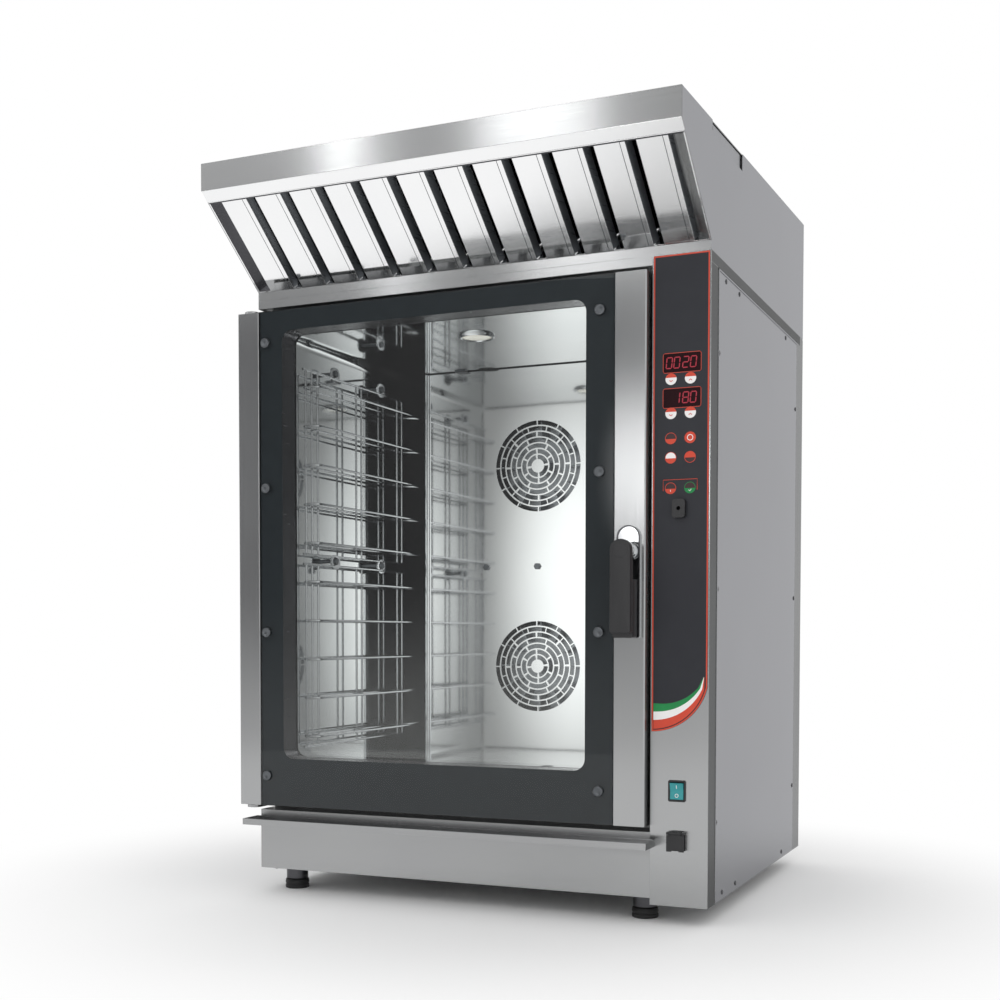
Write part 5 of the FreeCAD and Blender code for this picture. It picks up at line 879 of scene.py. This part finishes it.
def digit(sign, x, z, wide=9.0, tall=17.0, stroke=1.7, slant=0.1):
    """Stacks of a slanted seven-segment digit centred on (x, z)."""
    bars = {"a": (0, tall / 2, 0), "g": (0, 0, 0), "d": (0, -tall / 2, 0), "f": (-wide / 2, tall / 4, 1),
            "b": (wide / 2, tall / 4, 1), "e": (-wide / 2, -tall / 4, 1), "c": (wide / 2, -tall / 4, 1)}
    made = []
    for letter in SEGMENTS[sign]:
        across, up, standing = bars[letter]
        shape = segment(across, up, (tall / 2 if standing else wide) - 0.6, stroke, standing)
        shape[:, 0] += slant * shape[:, 1]
        shape = shape + np.array([x, z])
        made.append(stack([upright(shape, window_front - 0.25), upright(shape, window_front + 0.1)]))
    return made


window_front = span("display_windows")[0][1]
DIGIT_X = (368.0, 380.5, 395.0, 407.5)
shown = []
for signs, z in (("0020", 906.5), ("180", 850.5)):
    for sign, x in zip(signs, DIGIT_X[-len(signs):]):
        shown += digit(sign, x, z)
piece("display_digits", shown, "oven", lit, smooth=False)

frames = []
for z0, z1 in ((892, 921), (836, 865)):
    outer = rounded(357.2, 420.2, z0 - 1.5, z1 + 1.5, 4.0)
    frames.append(band(outer, inset(outer, 0.9), print_face, print_foot))
piece("display_outlines", frames, "oven", ink_red, smooth=False)

# %% [markdown]
# The print on the keys needs two shapes more: a disc that may be cut off along a chord, and a line drawn
# with a broad pen, whose corners are mitred.

# %% Discs and drawn marks


def disc(x, z, radius, low=-1.0, high=1.0):
    """Outline of a disc whose height is limited between two shares of its radius: past a limit its points
    lie on the chord."""
    turn = circle(44)
    up = np.clip(np.sin(turn), low, high)
    reach = np.sqrt(1 - up ** 2)
    return np.stack([x + radius * np.clip(np.cos(turn), -reach, reach), z + radius * up], -1)


def mark(points, width=1.1):
    """A drawn line with mitred corners: its points moved to both sides along their mean normals."""
    points = np.array(points, float)
    ahead = np.gradient(points, axis=0)
    ahead /= np.linalg.norm(ahead, axis=1, keepdims=True)
    side = np.stack([-ahead[:, 1], ahead[:, 0]], -1) * width / 2
    return band(points + side, points - side, film_front - 0.5, film_front, False)


print("half a disc reaches", np.round(np.ptp(disc(0, 0, 9.0, -1.0, 0.0), axis=0), 2).tolist(), "mm")

# %% [markdown]
# Ten keys are printed on the film as round spots. Each is built up in layers like the screen print
# itself: a round ground, a cap or half disc in a second ink, and a small plain mark on top.

# %% Printed keys
layers = {"red": [], "white": [], "green": [], "dark": []}
KEY_X, KEY_Z = (370.8, 402.6), (881.0, 826.6, 786.6, 755.7, 707.0)
KEY_RADIUS, GROUND_RADIUS, HALF_RADIUS, SECOND_COAT = 9.2, 9.0, 8.96, 0.24
for z in KEY_Z[:2]:
    for x, up in zip(KEY_X, (-1, 1)):
        layers["white"].append(printed(disc(x, z, KEY_RADIUS)))
        layers["red"].append(printed(disc(x, z, KEY_RADIUS, 0.25, 1.0), SECOND_COAT))
        layers["red"].append(mark([(x - 2.6, z - 3.0 - up), (x, z - 3.0 + up), (x + 2.6, z - 3.0 - up)]))
for x, z, upper, lower in ((KEY_X[0], KEY_Z[2], "dark", "red"), (KEY_X[1], KEY_Z[2], "red", "red"),
                           (KEY_X[0], KEY_Z[3], "white", "red"), (KEY_X[1], KEY_Z[3], "red", "dark"),
                           (KEY_X[0], KEY_Z[4], "dark", "red"), (KEY_X[1], KEY_Z[4], "dark", "green")):
    ring = disc(x, z, KEY_RADIUS)
    edge = "green" if lower == "green" else "red"
    layers[edge].append(band(ring, inset(ring, 0.8), film_front - 0.3, film_front))
    layers[upper].append(printed(disc(x, z, GROUND_RADIUS)))
    layers[lower].append(printed(disc(x, z, HALF_RADIUS, -1.0, -0.1), SECOND_COAT))
ring = disc(KEY_X[1], KEY_Z[2], 5.0)
layers["white"].append(band(ring, inset(ring, 1.1), film_front - 0.5, film_front))
(left_x, right_x), last_z = KEY_X, KEY_Z[4]
tick = [(right_x - 2, last_z - 3.6), (right_x, last_z - 5.4), (right_x + 2.4, last_z - 2.4)]
bracket = [(left_x - 12, last_z - 4), (left_x - 12, last_z + 13.5),
           (right_x + 12, last_z + 13.5), (right_x + 12, last_z - 4)]
layers["white"] += [mark([(left_x, last_z - 5.4), (left_x, last_z - 2.4)], 0.9), mark(tick, 0.9)]
layers["red"].append(mark(bracket, 0.8))
for name, ink in (("red", ink_red), ("white", ink_white), ("green", ink_green), ("dark", ink_dark)):
    piece(name + "_key_print", layers[name], "oven", ink, smooth=False)

# %% [markdown]
# The mains rocker carries the two usual marks, a ring for off and a bar for on. The rocker is dished and
# tilted at rest, so the marks follow its face: each point's depth is worked out from its height.

# %% Rocker marks
rocker_low, rocker_high = span("mains_rocker")
rocker_x, rocker_z = (rocker_low[0] + rocker_high[0]) / 2, 219.5
bezel_face, raised_end, dish = -285.5, -4.5, 2.2


def on_rocker(outline):
    """A mark on the dished face: depth runs from the rocker's hollow middle out to its raised ends."""
    half, tilt = 13.3, math.radians(6)
    up = (outline[:, 1] - rocker_z) / math.cos(tilt)
    out = raised_end + dish * (1 - np.abs(up) / half)
    height = up * math.cos(tilt) + out * math.sin(tilt)
    deep = bezel_face + out * math.cos(tilt) - up * math.sin(tilt)
    return np.stack([outline[:, 0], deep, rocker_z + height], -1)


ring = np.stack([rocker_x + 3.0 * np.cos(circle(32)), rocker_z - 7.0 + 3.0 * np.sin(circle(32))], -1)
bar = rounded(rocker_x - 0.5, rocker_x + 0.5, rocker_z + 4.0, rocker_z + 10.0, 0.4, 3)
lift = np.array([0.0, 0.25, 0.0])
outer, inner, bar = on_rocker(ring), on_rocker(inset(ring, 0.8)), on_rocker(bar)
marks = [stack([outer - lift, inner - lift, inner + lift, outer + lift], True),
         stack([bar - lift, bar + lift])]
piece("rocker_marks", marks, "rocker", ink_white, smooth=False)

# %% [markdown]
# The studio starts with a pale floor that fades to white, and a white world for whatever looks past the
# oven. The floor keeps the shadow near the oven; further out it glows by itself, so that it meets the
# background without an edge.

# %% Floor and world


def surface(tree, socket):
    """Gives the material's output another shader than the one it was made with."""
    output = next(node for node in tree.nodes if node.type == "OUTPUT_MATERIAL")
    tree.links.new(socket, output.inputs["Surface"])


def staged(name, mesh, paint, unseen=()):
    """An object of the studio with its paint, left out of the kinds of ray named."""
    mesh.materials.append(paint)
    thing = bpy.data.objects.new(name, mesh)
    for ray in unseen:
        setattr(thing, "visible_" + ray, False)
    bpy.context.scene.collection.objects.link(thing)
    return thing


floor_mesh = bpy.data.meshes.new("studio_floor")
floor_mesh.from_pydata([(-40, -40, 0), (40, -40, 0), (40, 40, 0), (-40, 40, 0)], [], [(0, 1, 2, 3)])
floor_paint, tree, shader, where = finish("pale_floor_paint", "#fafafa", 0.0, 0.9,
                                          **{"Specular IOR Level": 0.1})
tint(tree, grained(tree, where, (2.0, 2.0, 2.0)), "#f8f8f8", "#fcfcfc", shader)
away = add(tree, "ShaderNodeVectorMath", {"operation": "LENGTH"}, {0: where})
far = add(tree, "ShaderNodeMapRange", {"interpolation_type": "SMOOTHSTEP", "From Min": 0.55,
                                       "From Max": 1.2}, {"Value": away.outputs["Value"]})
glow = add(tree, "ShaderNodeEmission", {"Color": (1, 1, 1, 1), "Strength": 1.0})
both = add(tree, "ShaderNodeMixShader", links={0: far.outputs[0], 1: shader.outputs[0], 2: glow.outputs[0]})
surface(tree, both.outputs[0])
floor = staged("studio_floor", floor_mesh, floor_paint)

world = bpy.data.worlds.new("studio")
bpy.context.scene.world = world
world.use_nodes = True
tree = world.node_tree
tree.nodes.clear()
rays = add(tree, "ShaderNodeLightPath")
seen = rays.outputs["Is Camera Ray"]
for kind in ("Is Glossy Ray", "Is Transmission Ray"):
    seen = add(tree, "ShaderNodeMath", {"operation": "MAXIMUM"}, {0: seen, 1: rays.outputs[kind]}).outputs[0]
ambient = add(tree, "ShaderNodeBackground", {"Color": (1, 1, 1, 1), "Strength": 0.95})
white = add(tree, "ShaderNodeBackground", {"Color": (1, 1, 1, 1), "Strength": 1.0})
both = add(tree, "ShaderNodeMixShader", links={0: seen, 1: ambient.outputs[0], 2: white.outputs[0]})
add(tree, "ShaderNodeOutputWorld", links={"Surface": both.outputs[0]})
print("floor and world made")

# %% [markdown]
# Steel only looks like steel when it has something light and something dark to reflect. A softbox is an
# area lamp: its power is set from the brightness that it should have in a reflection. A felt card is a
# sheet graded from one grey to another, which gives steel its darker tones.

# %% A softbox and a felt card


def lamp(name, place, target, size, radiance):
    """A soft rectangular lamp that looks from a place at a target, in metres; its power is the wanted
    radiance times pi times its area."""
    light = bpy.data.lights.new(name, "AREA")
    light.shape = "RECTANGLE"
    light.size, light.size_y = size
    light.energy = radiance * math.pi * size[0] * size[1]
    thing = bpy.data.objects.new(name, light)
    thing.location = place
    thing.rotation_euler = (Vector(target) - Vector(place)).to_track_quat("-Z", "Y").to_euler()
    thing.visible_camera = False
    bpy.context.scene.collection.objects.link(thing)
    return thing


def card(name, left, right, bottom, top, low, high, foot):
    """An upright card from one floor point to another, seen only in reflections: grey from low to high along
    it, and paler over the height of its foot."""
    mesh = bpy.data.meshes.new(name)
    corners = [(*left, bottom), (*right, bottom), (*right, top), (*left, top)]
    mesh.from_pydata(corners, [], [(0, 1, 2, 3)])
    felt, tree, _, where = finish(name + "_felt", low, 0.0, 1.0)
    place = add(tree, "ShaderNodeSeparateXYZ", links={0: where})
    across = add(tree, "ShaderNodeMapRange", {"From Min": left[0], "From Max": right[0]},
                 {"Value": place.outputs["X"]})
    tone = add(tree, "ShaderNodeMix", {"data_type": "RGBA", 6: linear(low), 7: linear(high)},
               {0: across.outputs[0]})
    up = add(tree, "ShaderNodeMapRange", {"interpolation_type": "SMOOTHSTEP", "From Min": bottom,
                                          "From Max": bottom + foot}, {"Value": place.outputs["Z"]})
    tone = add(tree, "ShaderNodeMix", {"data_type": "RGBA", 6: linear("#d8d8d8")},
               {0: up.outputs[0], 7: tone.outputs[2]})
    glow = add(tree, "ShaderNodeEmission", links={"Color": tone.outputs[2]})
    surface(tree, glow.outputs[0])
    thing = staged(name, mesh, felt, ("camera", "diffuse", "shadow"))


# %% [markdown]
# A lamp in front of the door would show in its glass as a hard rectangle. So the third kind is a glowing
# card that grows clear towards its edges: its own UV map runs from -1 to 1, and the distance from the
# middle fades the glow.

# %% A glowing card with soft edges


def soft_card(name, place, target, size, radiance, core=0.2):
    """A glowing card seen only in reflections: bright as far as its core, a share of its half width, and
    clear at its edges."""
    turn = (Vector(target) - Vector(place)).to_track_quat("-Z", "Y").to_matrix()
    square = np.array([[-1, -1], [1, -1], [1, 1], [-1, 1]], float)
    flat = np.concatenate([square * np.array(size) / 2, np.zeros((4, 1))], 1)
    mesh = bpy.data.meshes.new(name)
    mesh.from_pydata((flat @ np.array(turn).T + np.array(place)).tolist(), [], [(0, 1, 2, 3)])
    mesh.uv_layers.new(name="card").data.foreach_set("uv", square.ravel())
    cloth, tree = finish(name + "_cloth", "#ffffff", 0.0, 1.0)[:2]
    from_middle = add(tree, "ShaderNodeTexCoord").outputs["UV"]
    away = add(tree, "ShaderNodeVectorMath", {"operation": "LENGTH"}, {0: from_middle})
    fade = add(tree, "ShaderNodeMapRange", {"interpolation_type": "SMOOTHSTEP", "From Min": core,
                                            "From Max": 1.0}, {"Value": away.outputs["Value"]})
    glow = add(tree, "ShaderNodeEmission", {"Strength": radiance})
    clear = add(tree, "ShaderNodeBsdfTransparent")
    both = add(tree, "ShaderNodeMixShader",
               links={0: fade.outputs[0], 1: glow.outputs[0], 2: clear.outputs[0]})
    surface(tree, both.outputs[0])
    thing = staged(name, mesh, cloth, ("camera", "diffuse", "shadow"))


# %% [markdown]
# Two softboxes stand high at the front left and draw the bright strips on the fascia. One glowing card
# lights the stile, and another lies on the floor under the filter's slope. One felt card stands below the
# softboxes and one behind them. A small lamp under the cavity's ceiling does for the oven's own light.
# None of these is seen by the camera itself.

# %% Lamps and cards
lamp("narrow_softbox", (-1.60, -3.08, 2.38), (-0.14, -0.46, 1.28), (0.09, 0.9), 7.5)
lamp("wide_softbox", (-0.89, -3.27, 2.38), (0.23, -0.46, 1.28), (0.42, 0.9), 3.6)
soft_card("low_softbox", (-0.44, -3.2, 1.07), (0.31, -0.3, 0.73), (0.6, 0.9), 7.0)
inside = lamp("cavity_light", (-0.05, -0.05, 1.012), (-0.05, 0.0, 0.2), (0.4, 0.2), 2.0)
inside.visible_transmission = inside.visible_glossy = False
soft_card("floor_bounce", (-0.8, -0.55, 0.015), (-0.8, -0.54, 1.2), (2.1, 0.6), 1.0, 0.55)
card("dark_card", (-2.6, -2.6), (-0.25, -3.3), 0.02, 1.8, "#4a4a4c", "#9a9a9c", 0.7)
card("upper_card", (-1.5, -3.4), (0.2, -3.5), 1.9, 3.0, "#e8e8e8", "#7c7c7c", 0.01)

# %% [markdown]
# A photographer lights an oven's cavity on its own, or its polished walls go dull behind the glass. Here
# a screen stands in the mouth, bright at its middle and dim towards its edges, and shines only inwards.
# It is left out of every ray that comes through the glass, so only the cavity's own mirrors show it.

# %% Screen in the mouth
screen_mesh = bpy.data.meshes.new("mouth_screen")
screen_left, screen_right, screen_y, screen_foot, screen_head = -0.378, 0.268, -0.238, 0.197, 1.022
screen_mesh.from_pydata([(screen_left, screen_y, screen_foot), (screen_right, screen_y, screen_foot),
                         (screen_right, screen_y, screen_head), (screen_left, screen_y, screen_head)],
                        [], [(3, 2, 1, 0)])
screen_cloth, tree, _, where = finish("backlit_cloth", "#ffffff", 0.0, 1.0)
offset = add(tree, "ShaderNodeMapping", {"Location": (0.42, 0.0, -0.87), "Scale": (3.4, 0.0, 1.45)},
             {"Vector": where})
away = add(tree, "ShaderNodeVectorMath", {"operation": "LENGTH"}, {0: offset.outputs[0]})
bright = add(tree, "ShaderNodeMapRange", {"interpolation_type": "SMOOTHSTEP", "From Min": 0.15,
                                          "From Max": 1.0, "To Min": 1.3, "To Max": 0.26},
             {"Value": away.outputs["Value"]})
reverse = add(tree, "ShaderNodeNewGeometry").outputs["Backfacing"]
inwards = add(tree, "ShaderNodeMapRange", {"To Min": 1.0, "To Max": 0.0}, {"Value": reverse})
power = add(tree, "ShaderNodeMath", {"operation": "MULTIPLY"}, {0: bright.outputs[0], 1: inwards.outputs[0]})
glow = add(tree, "ShaderNodeEmission", links={"Strength": power.outputs[0]})
surface(tree, glow.outputs[0])
screen = staged("mouth_screen", screen_mesh, screen_cloth, ("camera", "transmission", "shadow"))
print("screen in the mouth made")

# %% [markdown]
# The camera stands where the photograph was taken, to the right and low, and looks down by about two
# degrees. Its lens is shifted, which keeps the uprights nearly parallel.

# %% Camera
PICTURE, FOCAL, CENTRE = 1000, 1407.6, (457.0, 687.6)
yaw, pitch = math.radians(24.52), math.radians(-2.15)
ahead = Vector((-math.sin(yaw) * math.cos(pitch), math.cos(yaw) * math.cos(pitch), math.sin(pitch)))
sideways = ahead.cross(Vector((0, 0, 1))).normalized()
above = sideways.cross(ahead)
stand = Matrix((sideways, above, -ahead)).transposed().to_4x4()
stand.translation = (1.0015, -2.4956, 0.4719)
optics = bpy.data.cameras.new("studio_camera")
optics.sensor_width = 36
optics.lens = optics.sensor_width * FOCAL / PICTURE
optics.shift_x = (PICTURE / 2 - CENTRE[0]) / PICTURE
optics.shift_y = (CENTRE[1] - PICTURE / 2) / PICTURE
camera = bpy.data.objects.new("studio_camera", optics)
camera.matrix_world = stand
bpy.context.scene.collection.objects.link(camera)
bpy.context.scene.camera = camera
bpy.context.scene.view_settings.view_transform = "Standard"


def pixel(x, y, z):
    """Where a point in millimetres falls in the 1000 by 1000 picture."""
    seen = stand.inverted() @ (Vector((x, y, z)) * MM)
    return round(CENTRE[0] + FOCAL * seen.x / -seen.z, 1), round(CENTRE[1] - FOCAL * seen.y / -seen.z, 1)


print("hood corner at", pixel(-404.8, -464.5, 1274), "column foot at", pixel(435.2, -285.5, 31))
